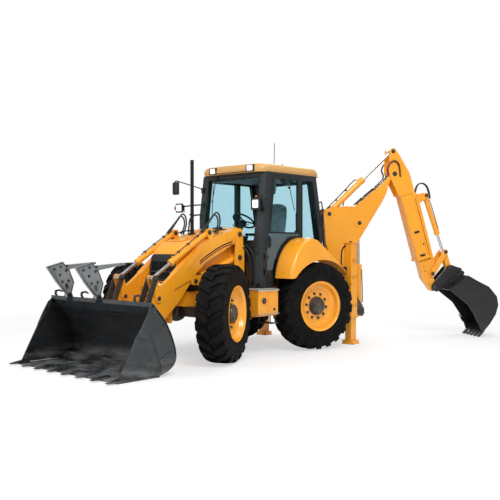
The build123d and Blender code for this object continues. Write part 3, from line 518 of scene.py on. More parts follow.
def tyre(corner, x, side, turnDegrees):
    s = Shape(wheelPlace(x, side, turnDegrees))
    half = [(0, 679)] + carcassLine
    whole = [(-y, r) for y, r in reversed(carcassLine)] + half
    s.turn((0, 0, 0), (0, 1, 0), [(-186, 366)] + whole + [(186, 366)], 120, closed=True)
    step = 360 / wheel["lugs"]
    for across in (1, -1):
        for i in range(wheel["lugs"]):
            base = i * step + (step / 2 if across < 0 else 0)
            points, faces = [], []
            for y, top, low, lag, wide in lugLine:
                for r, grow, yy in ((low, 0.9, y if y < 180 else y - 16), (top, 0.0, y)):
                    for sign in (-1, 1):
                        t = math.radians(base - side * lag + sign * (wide + grow))
                        points.append((r * math.sin(t), across * yy, r * math.cos(t)))
            n = len(lugLine)
            for k in range(n - 1):
                p, q = 4 * k, 4 * k + 4
                faces += [(p + 2, p + 3, q + 3, q + 2), (p, p + 2, q + 2, q), (p + 3, p + 1, q + 1, q + 3)]
            faces += [(0, 1, 3, 2), (4 * n - 4, 4 * n - 2, 4 * n - 1, 4 * n - 3)]
            s.add(points, faces)
        for i in range(wheel["lugs"] * 2):  # short ribs on the sidewall below the lugs
            t = math.radians(i * step / 2 + 4)
            points = []
            for r in (512, 552):
                for lift in (-4, 5):
                    for w in (-9 / r, 9 / r):
                        points.append((r * math.sin(t + w), across * (206 + lift), r * math.cos(t + w)))
            s.add(points, [(2, 3, 7, 6), (0, 2, 6, 4), (3, 1, 5, 7), (0, 1, 3, 2), (4, 6, 7, 5)])
    piece = s.finish(corner + "_tyreTread", tyreRubber, corner + "_wheel", 3.5, "tyre", 30,
                     [corner + "_tyre"])
    return piece


def rim(corner, x, side, turnDegrees):
    place = wheelPlace(x, side, turnDegrees)
    lip = wheel["rimLip"]
    s = Shape(place)
    face = [(80, 62), (80, 140), (86, 168), (80, 185), (79, 236), (88, 262), (104, 284), (114, 300),
            (117, 322), (124, 340), (146, 352), (178, 358), (190, 364), (196, 384), (204, 393),
            (211, lip - 4), (209, lip), (203, lip), (190, 390), (182, 372), (172, 366), (60, 346), (40, 330),
            (-60, 330), (-80, 346), (-172, 366), (-182, 372), (-190, 390), (-203, lip), (-209, lip),
            (-211, lip - 4), (-204, 393), (-190, 366), (-80, 338), (-60, 322), (40, 322), (60, 338),
            (98, 340), (104, 322), (102, 306), (92, 292), (74, 268), (66, 240), (66, 62)]
    s.turn((0, 0, 0), (0, 1, 0), face, 96, closed=True)
    s.tube([(40, 126, 346), (46, 168, 340), (46, 186, 330)], 5, 8)
    rimPiece = s.finish(corner + "_rimDisc", yellow, corner + "_wheel", 1.5, "yellow_paint", 32,
                        [corner + "_rim"])
    h = Shape(place)
    hubLine = [(20, 100), (20, 150), (98, 150), (104, 146), (104, 128), (150, 122), (158, 116), (160, 104),
               (176, 100), (180, 92), (180, 46), (187, 42), (187, 20), (190, 0.5)]
    h.turn((0, 0, 0), (0, 1, 0), hubLine, 72)
    for i in range(12):
        t = 2 * math.pi * i / 12
        h.hexHead((112 * math.sin(t), 156, 112 * math.cos(t)), (0, 1, 0), 8, 9)
    for i in range(3):
        t = 2 * math.pi * i / 3 + 0.4
        h.hexHead((70 * math.sin(t), 179, 70 * math.cos(t)), (0, 1, 0), 10, 7)
    h.finish(corner + "_hubCap", chassisBlack, corner + "_wheel", 1.5, "dark_paint")
    b = Shape(place)
    for i in range(wheel["nuts"]):
        t = 2 * math.pi * (i + 0.3) / wheel["nuts"]
        c = wheel["nutCircle"]
        b.turn((c * math.sin(t), 78, c * math.cos(t)), (0, 1, 0), [(0, 25), (4, 25), (7, 20)], 20)
        b.hexHead((c * math.sin(t), 84, c * math.cos(t)), (0, 1, 0), 18, 20)
        b.rod((c * math.sin(t), 90, c * math.cos(t)), (c * math.sin(t), 118, c * math.cos(t)), 10, 12, 2)
    b.finish(corner + "_wheelNuts", boltSteel, corner + "_wheel", 0.8, "dark_paint")
    return rimPiece


for corner in corners:
    tyre(*corner)
    rim(*corner)
print("wheels made")


# Loader arms, rams, bucket and forks.
loader = {"armY": 380, "pinRing": 7, "hose": 12, "pipe": 7}


def pinCap(s, x, z, y, outward, r, bolt=9):
    # A pin's end: a collar, a keeper bolt and a grease nipple.
    s.turn((x, y, z), (0, outward, 0),
           [(0, r + loader["pinRing"]), (5, r + loader["pinRing"]), (5, r), (13, r), (16, r - 4)], 36)
    s.hexHead((x + r * 0.45, y + outward * 16, z), (0, outward, 0), bolt, 7)
    s.hexHead((x, y + outward * 16, z - r * 0.1), (0, outward, 0), 4, 9)


def ramPoint(base, eye, y, distance, lift):
    dx, dz = eye[0] - base[0], eye[1] - base[1]
    n = math.hypot(dx, dz)
    return (base[0] + dx / n * distance - dz / n * lift, y, base[1] + dz / n * distance + dx / n * lift)


def ramTrim(s, base, eye, y, reach, r, port=1):
    # Gland nut, end cap and the port bosses of a cylinder's barrel.
    p = Vector(ramPoint(base, eye, y, 0, 0))
    ahead = Vector(ramPoint(base, eye, y, 100, 0)) - p
    s.turn(ramPoint(base, eye, y, reach - 66, 0), ahead, [(0, r + 2), (3, r + 8), (64, r + 8), (67, r + 4)],
           40)
    for k in range(8):
        t = math.pi * k / 4
        up = Vector((0, math.cos(t), math.sin(t)))
        turned = ahead.to_track_quat("X", "Z") @ up
        spot = Vector(ramPoint(base, eye, y, reach - 34, 0)) + turned * (r + 7)
        s.rod(spot, spot + turned * 4, 6, 8)
    for d in (reach - 90, 110):
        q = Vector(ramPoint(base, eye, y, d, r * 0.7 * port))
        q2 = Vector(ramPoint(base, eye, y, d, (r + 22) * port))
        s.rod(q, q2, 13, 16, 2)


pins = Shape()
for side in (1, -1):
    for x, z in ((1300, 1860), (1300, 1500)):
        pinCap(pins, x, z, side * 468, side, 35)
pins.finish("towerPins", boltSteel, "chassis", 1)

pins = Shape()
for side in (1, -1):
    for s in (1, -1):
        pinCap(pins, 1920, 1880, side * 380 + s * 55, s, 30)
        pins.turn((2900, side * 380 + s * 62, 940), (0, s, 0), [(0, 34), (0.6, 34), (0.6, 2)], 36)
        pinCap(pins, 2200, 1160, side * 380 + s * 55, s, 30)
pins.finish("armPins", boltSteel, "loader_arms", 1)

pins = Shape()
for side in (1, -1):
    for s in (1, -1):
        pinCap(pins, 3120, 380, side * 380 + s * 103, s, 35)
        pinCap(pins, 3200, 660, side * 380 + s * 103, s, 30)
pins.finish("bucketPins", boltSteel, "bucket_back", 1)

pins = Shape()
for side in (1, -1):
    for s in (1, -1):
        pinCap(pins, 2980, 1220, side * 380 + s * 84, s, 30)
pins.finish("rockerPins", boltSteel, "tilt_rockers", 1)

tiltBase, tiltEye, liftBase, liftEye = (1920, 1880), (2980, 1220), (1300, 1500), (2200, 1160)
glands, pipes = Shape(), Shape()
for side in (1, -1):
    y = side * loader["armY"]
    ramTrim(glands, tiltBase, tiltEye, y, 860, 44)
    for k, lift in ((-1, 58), (1, 66)):
        path = [ramPoint(tiltBase, tiltEye, y + k * 16, d, lift)
                for d in (60, 110, 300, 600, 740 if k > 0 else 120)]
        if k < 0:
            path = path[:2]
        pipes.tube(path, loader["pipe"], 10)
    for d in (200, 420, 640):  # pipe clamps
        c = ramPoint(tiltBase, tiltEye, y, d, 52)
        q = ramPoint(tiltBase, tiltEye, y, d + 26, 72)
        pipes.box(c[0] - 4, c[0] + 30, y - 4, y + 30, c[2] - 4, c[2] + 18)
glands.finish("tiltRamGlands", yellow, "tilt_barrels", 1.2, "yellow_paint")
pipes.finish("tiltRamPipes", hoseRubber, "tilt_barrels", 0)

hoses = Shape()
for side in (1, -1):
    y = side * loader["armY"]
    for k, spread, lift in ((1, 22, 30), (-1, -22, 0)):
        path = [ramPoint(tiltBase, tiltEye, y + spread, 105, 60),
                ramPoint(tiltBase, tiltEye, y + spread, 20, 78), (1840, y + spread, 2070 + lift),
                (1760, y + spread, 2150 + lift), (1690, y + spread, 2120 + lift), (1668, y + spread, 2030),
                (1700, y + spread, 1935), (1735, y + spread * 1.2, 1868)]
        hoses.tube(path, loader["hose"], 12)
        hoses.rod((1722, y + spread * 1.15, 1905), (1738, y + spread * 1.2, 1862), 15, 6)
hoses.finish("tiltRamHoses", hoseRubber, "tilt_barrels", 0)

glands = Shape()
for side in (1, -1):
    ramTrim(glands, liftBase, liftEye, side * loader["armY"], 790, 48, -1)
glands.finish("liftRamGlands", yellow, "lift_barrels", 1.2, "yellow_paint")

lines = Shape()
for side in (1, -1):
    for k in range(3):
        y = side * (loader["armY"] - 63)
        drop = 22 * k
        path = [(1470, y, 1815 - drop), (1660, y, 1765 - drop), (1900, y, 1665 - drop),
                (2120, y, 1545 - drop), (2330, y, 1385 - drop), (2430, y, 1300 - drop),
                (2446, side * 338, 1284 - drop), (2450, side * 348, 1280 - drop)]
        lines.tube(path, loader["pipe"], 10)
    for x, z in ((1600, 1752), (1980, 1602), (2250, 1417)):
        lines.box(x - 16, x + 16, side * 306, side * 326, z - 34, z + 44)
    lines.tube([(1500, side * 352, 1935), (1620, side * 360, 1925), (1760, side * 366, 1905),
                (1850, side * 372, 1870)], 10, 10)
lines.finish("armPipes", hoseRubber, "loader_arms", 1)

# welded plates and ribs that stiffen the arms
ribs = Shape()
for side in (1, -1):
    outer, inner = side * 435, side * 325
    ribs.turn((2800, side * 345, 720), (0, -side, 0), [(0, 84), (10, 84), (16, 66)], 48)
    for y0, y1 in ((outer, side * 443), (inner, side * 317)):
        ribs.prism([(1245, 1935), (1400, 1925), (1560, 1870), (1560, 1760), (1400, 1790), (1245, 1800)], y0,
                   y1)
    ribs.prism([(2075, 1640), (2250, 1500), (2400, 1360), (2400, 1290), (2250, 1430), (2075, 1570)], outer,
               side * 441)
    ribs.prism([(2980, 470), (3060, 460), (3125, 300), (3180, 330), (3170, 440), (3100, 640), (3020, 700)],
               side * 415, side * 423)
    ribs.prism([(2980, 470), (3060, 460), (3125, 300), (3180, 330), (3170, 440), (3100, 640), (3020, 700)],
               side * 345, side * 337)
ribs.finish("armPlates", yellow, "loader_arms", 2, "yellow_paint")

bucket = {"half": 1150, "sheet": 18, "plate": 20, "hooks": (-1090, -430, 760)}
backLine = smoothLine([(3602, 934), (3500, 822), (3392, 694), (3300, 536), (3236, 376), (3212, 250),
                       (3246, 146), (3340, 72), (3470, 25)])
insideLine = beside(backLine, bucket["sheet"])
earLine = [p for p in beside(backLine, 7) if 262 < p[1] < 690 and p[0] < 3400][::-1]
s = Shape()
s.prism(backLine + insideLine[::-1], -bucket["half"], bucket["half"])
for side in (1, -1):
    y0, y1 = side * (bucket["half"] - bucket["plate"]), side * bucket["half"]
    s.prism(backLine + [(3473, 141), (3690, 724), (3640, 900)], y0, y1)
    s.turn((3600, y0, 850), (0, side, 0), [(0, 35), (50, 35)], 36)
    y = side * loader["armY"]
    for t in (1, -1):
        s.prism([(3080, 300)] + earLine + [(3380, 700), (3230, 720), (3150, 690), (3050, 400)], y + t * 85,
                y + t * 103)
        s.rod((3200, y + t * 80.6, 660), (3200, y + t * 85, 660), 30, 32)
    s.rod((3120, y - 103, 380), (3120, y + 103, 380), 35, 36)
s.rod((3596, -bucket["half"], 925), (3596, bucket["half"], 925), 20, 24)
for y in (30, -670):
    for t in (1, -1):
        s.prism([(3570, 900), (3620, 890), (3690, 960), (3670, 1010), (3610, 1005)], y + t * 25.6, y + t * 43)
    s.rod((3645, y - 43, 975), (3645, y + 43, 975), 18, 24)
s.finish("bucketBackShell", bucketSteel, "bucket_back", 2, "black_steel", replaces=["bucket_back"])

s = Shape()
for y in bucket["hooks"]:
    s.prism([(3560, 905), (3600, 980), (3590, 1030), (3520, 1040), (3470, 1010), (3480, 995), (3525, 1016),
             (3570, 1008), (3574, 978), (3530, 915)], y - 14, y + 14)
s.prism([(3606, 955), (3626, 955), (3612, 898), (3592, 898)], -1148, 1148)
rib = [p for p in backLine if p[1] > 225]
for y0 in (-1110, -700, 0, 700, 1110):  # stiffening ribs down the back
    s.prism(rib + beside(rib, -30)[::-1][1:-1], y0 - 12, y0 + 12)
heel = [p for p in backLine if p[1] < 262 and p[0] < 3480]
for side in (1, -1):
    y0, y1 = side * 1150, side * 1160
    s.prism(heel + [(3474, 141), (3500, 215), (3380, 290), (3290, 320)], y0, y1)
    for x, z in ((3610, 890), (3262, 268), (3430, 140), (3640, 760), (3420, 660)):
        s.hexHead((x, y0, z), (0, side, 0), 15, 11)
s.finish("bucketHooksAndRibs", bucketSteel, "bucket_back", 2, "black_steel")
s = Shape()  # near-black sheets of painted shade on the faces inside the bucket and over the split between back and jaw, rubbed to bare metal low down as real wear
thin = [p for p in insideLine if p[0] < 3500]
s.prism(thin + beside(thin, 2)[::-1], 20 - bucket["half"], bucket["half"] - 20)
for side in (1, -1):
    y0 = side * (bucket["half"] - bucket["plate"])
    s.prism(thin[::2] + [(3478, 150), (3686, 720), (3640, 880)], y0, y0 - side * 2)
s.finish("bucketBackShadeLining", darkEdgeSteelAndPaintedShade, "bucket_back", 0, "black_steel")
# near-black sheets of painted shade inside the jaw and over its split with the back
s = Shape()
for side in (1, -1):
    y0 = side * (bucket["half"] - bucket["plate"])
    s.prism([(3492, 146), (3704, 718), (3805, 600), (3836, 556), (4044, 162), (4110, 28), (3500, 24)], y0,
            y0 - side * 2)
    s.prism([(3466, 24), (3469, 141), (3686, 727), (3708, 718), (3494, 141), (3490, 24)], side * 1150.5,
            side * 1153)
s.box(3496, 4000, -1131, 1131, 20, 22)
s.prism([(3512, 22), (3524, 135), (3512, 137), (3504, 22)], -1128, 1128)
s.finish("jawShadeLining", darkEdgeSteelAndPaintedShade, "bucket_jaw", 0, "black_steel")

s = Shape()
for i in range(8):
    y = (i - 3.5) * 322
    for dx in (0, 62):  # plough bolts and the tooth's upper strap
        s.rod((4022 + dx, y, 44 + (4 if dx else 0)), (4022 + dx, y, 58), 12, 16, 2)
    s.prism([(3992, 20), (4010, 40), (4048, 62), (4120, 56), (4230, 41), (4294, 29), (4294, 20), (4150, 44),
             (4050, 50)], y - 24, y + 24)
for i in range(7):
    y = (i - 3) * 322
    s.prism([(4010, 20), (4014, 30), (4150, 22), (4164, 13), (4150, 12)], y - 118, y + 118)
    for dy in (-70, 70):
        s.rod((4075, y + dy, 24), (4075, y + dy, 33), 11, 16, 2)
for side in (1, -1):
    y0, y1 = side * 1150, side * 1158
    s.prism([(3850, 545), (4058, 163), (4125, 30), (4060, 30), (3990, 160), (3800, 520)], side * 1120,
            side * 1128)
    for x, z in ((3745, 640), (3530, 70)):
        s.hexHead((x, y0, z), (0, side, 0), 14, 10)
s.finish("jawTeethAndEdge", darkEdgeSteelAndPaintedShade, "bucket_jaw", 2, "black_steel")

forks = {"places": (30, -670), "half": 25}
leaf = [(3640, 990), (3600, 1160), (3668, 1320), (3752, 1420), (3935, 1368), (3822, 1190), (3690, 1020)]
rimLine = [(3622, 970), (3572, 1160), (3650, 1334), (3748, 1440), (3984, 1378), (3842, 1182), (3682, 1004)]
s, bolts = Shape(), Shape()
for y in forks["places"]:
    for side in (1, -1):
        y0, y1 = y + side * 25, y + side * 30
        s.prism(leaf, y0, y1)
        bolts.sweep([Vector((px, y0, pz)) for px, pz in rimLine], 7, 8, close=True)
        for x, z in ((3700, 1330), (3790, 1385), (3890, 1350), (3660, 1180), (3760, 1170), (3800, 1270)):
            bolts.turn((x, y1, z), (0, side, 0), [(0, 21), (3, 21)], 20)
            bolts.hexHead((x, y1 + side * 3, z), (0, side, 0), 14, 10)
        bolts.turn((3645, y1, 975), (0, side, 0), [(0, 42), (5, 42), (5, 24), (12, 24)], 32)
        bolts.prism([(3690, 1050), (3720, 1105), (3712, 1150), (3670, 1140), (3660, 1080)], y1, y1 + side * 3)
    s.prism([(3205, 1432), (3215, 1440), (3640, 1410), (3700, 1410), (3660, 1392)], y - 50, y + 50)
    s.prism([(3205, 1412), (3205, 1432), (3660, 1392), (3690, 1350)], y - 50, y + 50)
s.finish("forkPlates", forkSteel, "pallet_forks", 2, "black_steel")
bolts.finish("forkFittings", boltSteel, "pallet_forks", 1)

# trim stripes along the outer side of each arm
for name, material, low in (("armStripeDark", stackBlack, 0), ("armStripeRed", stripeRed, 34)):
    s = Shape()
    for side in (1, -1):
        top = [(1430, 1756 - low), (1600, 1712 - low), (1800, 1632 - low), (2000, 1528 - low),
               (2120, 1455 - low)]
        s.prism(top + [(px, pz - 20) for px, pz in top[::-1]], side * 434, side * 437)
    s.finish(name, material, "loader_arms", 0)
print("loader made")


# Engine hood, nose grille, front plates and exhaust.
nose = {"half": 286, "top": 1556, "smoothLow": 1446, "slatLow": 1300, "bottom": 1160, "slats": 8,
        "lean": 0.138}


def noseAt(out, y, z):
    # out is the distance ahead of the hood's leaning nose.
    return at(2490 - (z - 1140) * nose["lean"] + out, y, z)


def facePlate(s, outline, a0, a1, shrink=1.0):
    # An outline in y and z, thickened along x from a0 to a1; shrink draws in the far face.
    n = len(outline)
    cy = sum(p[0] for p in outline) / n
    cz = sum(p[1] for p in outline) / n
    far = [(cy + (y - cy) * shrink, cz + (z - cz) * shrink) for y, z in outline]
    s.add([(a0, y, z) for y, z in outline] + [(a1, y, z) for y, z in far],
          [tuple(range(n)), tuple(range(2 * n - 1, n - 1, -1))]
          + [(i, (i + 1) % n, (i + 1) % n + n, i + n) for i in range(n)])


def arcCorner(cy, cz, r, first, last, steps=6):
    out = []
    for k in range(steps + 1):
        t = math.radians(first + (last - first) * k / steps)
        out.append((cy + r * math.cos(t), cz + r * math.sin(t)))
    return out


n = nose
s = Shape(noseAt)
facePlate(s, arcCorner(n["half"] - 70, n["top"] - 70, 70, 0, 90)
          + arcCorner(-n["half"] + 70, n["top"] - 70, 70, 90, 180)
          + [(-n["half"] + 6, n["smoothLow"]), (n["half"] - 6, n["smoothLow"])], 1, 12, 0.985)
for side in (1, -1):
    facePlate(s, [(side * n["half"], n["smoothLow"]), (side * (n["half"] - 36), n["smoothLow"]),
                  (side * (n["half"] - 44), n["bottom"] + 20), (side * (n["half"] - 8), n["bottom"])], 1, 12)
facePlate(s, [(n["half"] - 10, n["bottom"]), (n["half"] - 16, n["bottom"] + 26),
              (-n["half"] + 16, n["bottom"] + 26), (-n["half"] + 10, n["bottom"])], 1, 12)
s.box(2, 14, -250, 250, n["slatLow"] - 14, n["slatLow"] + 10)
s.turn((11, 0, 1500), (1, 0, 0), [(0, 34), (4, 34), (6, 28), (2.5, 26), (2.5, 1)], 40)
for y in (-250, 250):
    s.hexHead((12, y, 1462), (1, 0, 0), 9, 5)
s.finish("grilleSurround", darkPlastic, "hood", 2.5)

s = Shape(noseAt)
# a dark backing sheet behind the slats is painted shade seen through the grille's openings
s.box(-24, -20, -256, 256, 1184, 1516)
pitch = (n["smoothLow"] - n["slatLow"]) / n["slats"]
for i in range(n["slats"]):
    z = n["slatLow"] + 6 + pitch * i
    s.add([(-18, -252, z), (6, -252, z + 3), (6, -252, z + 7), (-18, -252, z + 12), (-18, 252, z),
           (6, 252, z + 3), (6, 252, z + 7), (-18, 252, z + 12)],
          [(0, 1, 2, 3), (7, 6, 5, 4), (0, 4, 5, 1), (1, 5, 6, 2), (2, 6, 7, 3), (3, 7, 4, 0)])
for y in (-84, 84):
    s.box(-18, 4, y - 4, y + 4, n["slatLow"], n["smoothLow"])
for k in range(27):
    y = -247 + k * 19
    s.box(-16, -10, y - 2, y + 2, 1186, n["slatLow"] - 8)
for k in range(6):
    s.box(-19, -15, -250, 250, 1196 + k * 17, 1199 + k * 17)
s.finish("noseGrille", sealRubber, "hood", 0, replaces=["front_grille"])

s = Shape()  # cooler seen through the lower opening
s.box(2385, 2395, -250, 250, 1175, 1430)
for k in range(25):
    s.box(2394, 2399, -246 + k * 20.5, -240 + k * 20.5, 1180, 1425)
s.finish("coolerCore", coolerBrown, "chassis", 0)

s = Shape()  # hood seams, latches and side louvres; the louvre slots are dark strips of painted shade
for side in (1, -1):
    y0, y1 = side * 300, side * 303
    for k in range(7):
        # each louvre slot is a dark strip of painted shade on the closed hood side
        x = 2020 + k * 30
        s.prism([(x, 1240), (x + 13, 1236), (x + 13, 1420), (x, 1424)], y0, side * 304)
    s.box(1240, 1420, y0, y1, 1640, 1650)
s.finish("hoodSeamsAndLouvreShade", cabBlack, "chassis", 0.8)
s = Shape()
for side in (1, -1):
    s.tube([(1925, side * 303, 1470), (1925, side * 312, 1490), (1925, side * 312, 1540),
            (1925, side * 303, 1560)], 6, 8)
    s.turn((1925, side * 300, 1515), (0, side, 0), [(0, 26), (4, 26), (6, 20)], 28)
s.finish("hoodLatches", darkPlastic, "hood", 1)
s = Shape()
s.prism([(1930, 1812), (1935, 1822), (2225, 1755), (2225, 1745)], -140, 140)
s.finish("hoodCrown", yellow, "hood", 8, "yellow_paint")

# front plates with dark discs of painted shade in place of round holes, bracket and tow lugs
s = Shape()
facePlate(s, [(-312, 1054), (312, 1054), (312, 1000), (236, 822), (-236, 822), (-312, 1000)], 2581, 2591)
s.box(2440, 2600, -312, -300, 900, 1054)
s.box(2440, 2600, 300, 312, 900, 1054)
s.box(2440, 2604, -312, 312, 1054, 1064)
for side in (1, -1):
    s.prism([(2590, 880), (2620, 880), (2620, 700), (2590, 640)], side * 150, side * 166)
s.finish("frontPlates", yellow, "chassis", 2, "yellow_paint")
s = Shape()
# dark discs of painted shade stand in for the round holes in the plates
for y, z, r in ((-254, 1020, 22), (-157, 1020, 22), (0, 1020, 22), (157, 1020, 22), (254, 1020, 22),
                (-200, 930, 20), (200, 930, 20), (-90, 930, 16), (90, 930, 16), (0, 880, 16)):
    s.turn((2589, y, z), (1, 0, 0), [(0, r), (2.6, r), (2.6, 0.5)], 32)
for side in (1, -1):
    for x, z in ((2480, 1022), (2560, 1022), (2540, 950)):
        s.turn((x, side * 310.5, z), (0, side, 0), [(0, 20), (2.2, 20), (2.2, 0.5)], 28)
s.finish("frontPlateHoleShade", cabBlack, "chassis", 0)
s = Shape()
for side in (1, -1):
    for y, z in ((208, 990), (290, 980), (120, 985)):
        s.turn((2590, side * y, z), (1, 0, 0), [(0, 15), (2, 15)], 24)
        s.hexHead((2592, side * y, z), (1, 0, 0), 11, 9)
s.finish("towBolts", boltSteel, "chassis", 1)
s = Shape()
s.rod((2506, 225, 1184), (2472, 232, 1272), 9, 16, 1)
s.prism([(2512, 1184), (2518, 1184), (2478, 1290), (2470, 1290)], 180, 250)
s.finish("noseStrut", boltSteel, "hood", 1)

# exhaust: clamp bands, rolled outlet and the opening's collar
s = Shape()
s.turn((1690, -200, 1845), (0, 0, 1), [(0, 66), (26, 66), (34, 54), (42, 38), (42, 29.5)], 48, True)
for z in (1900, 2160):
    s.turn((1690, -200, z), (0, 0, 1), [(0, 30), (1, 33), (22, 33), (23, 30)], 40)
    s.box(1720, 1744, -208, -192, z + 3, z + 20)
s.turn((1690, -200, 3012), (0, 0, 1), [(0, 25.5), (0, 28.5), (4, 31), (16, 31), (18, 29), (18, 25.5)], 40,
       True)
s.finish("exhaustTrim", stackBlack, "chassis", 1)
s = Shape()  # air intake bowl and one cap on the cowl
s.turn((1420, 130, 1915), (0, 0, 1), [(0, 36), (26, 36), (30, 58), (56, 58), (64, 46), (68, 10)], 40)
s.rod((1280, -110, 1945), (1280, -110, 1975), 30, 28, 4)
s.finish("cowlFittings", darkPlastic, "chassis", 1.5)
print("hood made")


# Cab, doors, roof and what is inside.
cab = {"half": 720, "front": 1120, "rear": -570, "frontLean": 0.14, "rearLean": 0.2, "seal": 9}


def frontX(z, out=0):
    return cab["front"] - max(0, z - 1600) * cab["frontLean"] + out


def rearX(z, out=0):
    return cab["rear"] + max(0, z - 1470) * cab["rearLean"] - out


def doorFront(z):
    return 960 - max(0, z - 1600) * 135 / 1100


def rounded(points, radius, steps=5):
    # A closed outline with its corners rounded.
    done = []
    n = len(points)
    for i in range(n):
        before, here, after = (Vector(points[j % n]) for j in (i - 1, i, i + 1))
        a = here + (before - here).normalized() * radius
        b = here + (after - here).normalized() * radius
        for k in range(steps + 1):
            t = k / steps
            done.append(a * (1 - t) ** 2 + here * 2 * t * (1 - t) + b * t * t)
    return done


def sealLoop(s, points, r=cab["seal"], radius=34):
    s.sweep(rounded(points, radius), r, 8, close=True)


seals = Shape()
sealLoop(seals, [(frontX(z, 3), y, z) for y, z in ((-585, 1760), (-585, 2780), (585, 2780), (585, 1760))])
sealLoop(seals, [(rearX(z, 3), y, z) for y, z in ((-540, 1620), (-540, 2740), (540, 2740), (540, 1620))])
for side in (1, -1):
    y = side * (cab["half"] + 2)
    sealLoop(seals, [(80, y, 1640), (80, y, 2760), (-205, y, 2760), (-430, y, 1640)])
seals.finish("windowSeals", sealRubber, "chassis", 0)
for side, body in ((1, "left_door"), (-1, "right_door")):
    y = side * (cab["half"] + 2)
    s = Shape()
    sealLoop(s, [(doorFront(1895) - 45, y, 1895), (doorFront(2760) - 45, y, 2760), (185, y, 2760),
                 (185, y, 1895)])
    s.finish(body + "Seal", sealRubber, body, 0)
    s = Shape()
    skin = [(950, 1298), (950, 1600), (doorFront(1878) - 9, 1878), (152, 1878), (152, 1862), (308, 1862),
            (456, 1814), (606, 1703), (710, 1573), (785, 1428), (820, 1312), (824, 1298)]
    s.prism(skin, side * 720, side * 726)
    s.finish(body + "Skin", doorGrey, body, 2.5, "dark_paint")
    s = Shape()
    s.prism([(950, 1110), (950, 1286), (828, 1286), (843, 1180), (847, 1110)], side * 720, side * 724)
    s.box(836, 944, side * 724, side * 728, 1195, 1203)
    oval = [(p.x, p.y) for p in rounded([(932, 1645, 0), (926, 1832, 0), (876, 1832, 0), (882, 1645, 0)], 24)]
    s.prism(oval, side * 726, side * 735)
    s.tube([(905, side * 734, 1668), (904, side * 754, 1680), (902, side * 758, 1740),
            (901, side * 754, 1798), (900, side * 734, 1810)], 9, 10)
    s.box(150, 176, side * 720, side * 738, 1915, 1985)
    s.rod((163, side * 738, 1930), (163, side * 748, 1930), 9, 16, 2)
    for z in (1250, 1480):  # hinge leaves on the door
        s.box(936, 1002, side * 720, side * 727, z + 4, z + 46)
        for x in (950, 968):
            s.hexHead((x, side * 727, z + 25), (0, side, 0), 6, 5)
    s.tube([(180, side * 700, 1930), (172, side * 676, 1960), (172, side * 672, 2200),
            (180, side * 700, 2230)], 11, 10)
    s.finish(body + "Handle", darkPlastic, body, 1)

# frame mouldings, drip rail, grab rails and wiper
s = Shape()
for side in (1, -1):
    y = side * 722
    s.sweep([Vector(p) for p in ((960, y, 1104), (960, y, 1600), (doorFront(2800), y, 2800), (140, y, 2800),
                                 (140, y, 1850))], 6, 8)
    s.tube([(-395, side * 712, 2420), (-420, side * 748, 2400), (-452, side * 752, 2060),
            (-458, side * 716, 2040)], 11, 12)
s.tube([(1085, -640, 1850), (1200, -735, 1872), (1250, -762, 1900), (1252, -752, 2010), (1246, -731, 2130),
        (1180, -700, 2190), (1062, -660, 2205)], 13, 12)
s.tube([(1100, 655, 1560), (1128, 700, 1580), (1122, 712, 1700), (1100, 706, 1900), (1070, 660, 1930)], 12,
       12)
s.sweep(rounded([(frontX(2838, 6), -560, 2838), (frontX(2838, 6), 560, 2838), (850, 716, 2838),
                 (-180, 716, 2838), (-296, 596, 2838), (-296, -596, 2838), (-180, -716, 2838),
                 (850, -716, 2838)], 60), 11, 8, close=True)
s.finish("cabMouldings", cabBlack, "chassis", 0)

s = Shape()
s.rod((frontX(2800, -6), -380, 2800), (frontX(2800, 30), -380, 2806), 26, 24, 4)
s.sweep([Vector(p) for p in ((frontX(2800, 26), -380, 2800), (frontX(2620, 28), -400, 2620),
                             (frontX(2420, 18), -430, 2420))], 7, 8)
s.sweep([Vector(p) for p in ((frontX(2700, 10), -452, 2700), (frontX(2140, 10), -408, 2140))], 7, 6)
s.box(frontX(2420, 8), frontX(2420, 24), -442, -420, 2405, 2435)
s.rod((rearX(2700, 0), 100, 2700), (rearX(2700, 26), 100, 2706), 22, 20, 3)
s.sweep([Vector(p) for p in ((rearX(2690, 22), 100, 2690), (rearX(2300, 18), 150, 2300))], 6, 8)
s.finish("windowWiper", sealRubber, "chassis", 1)

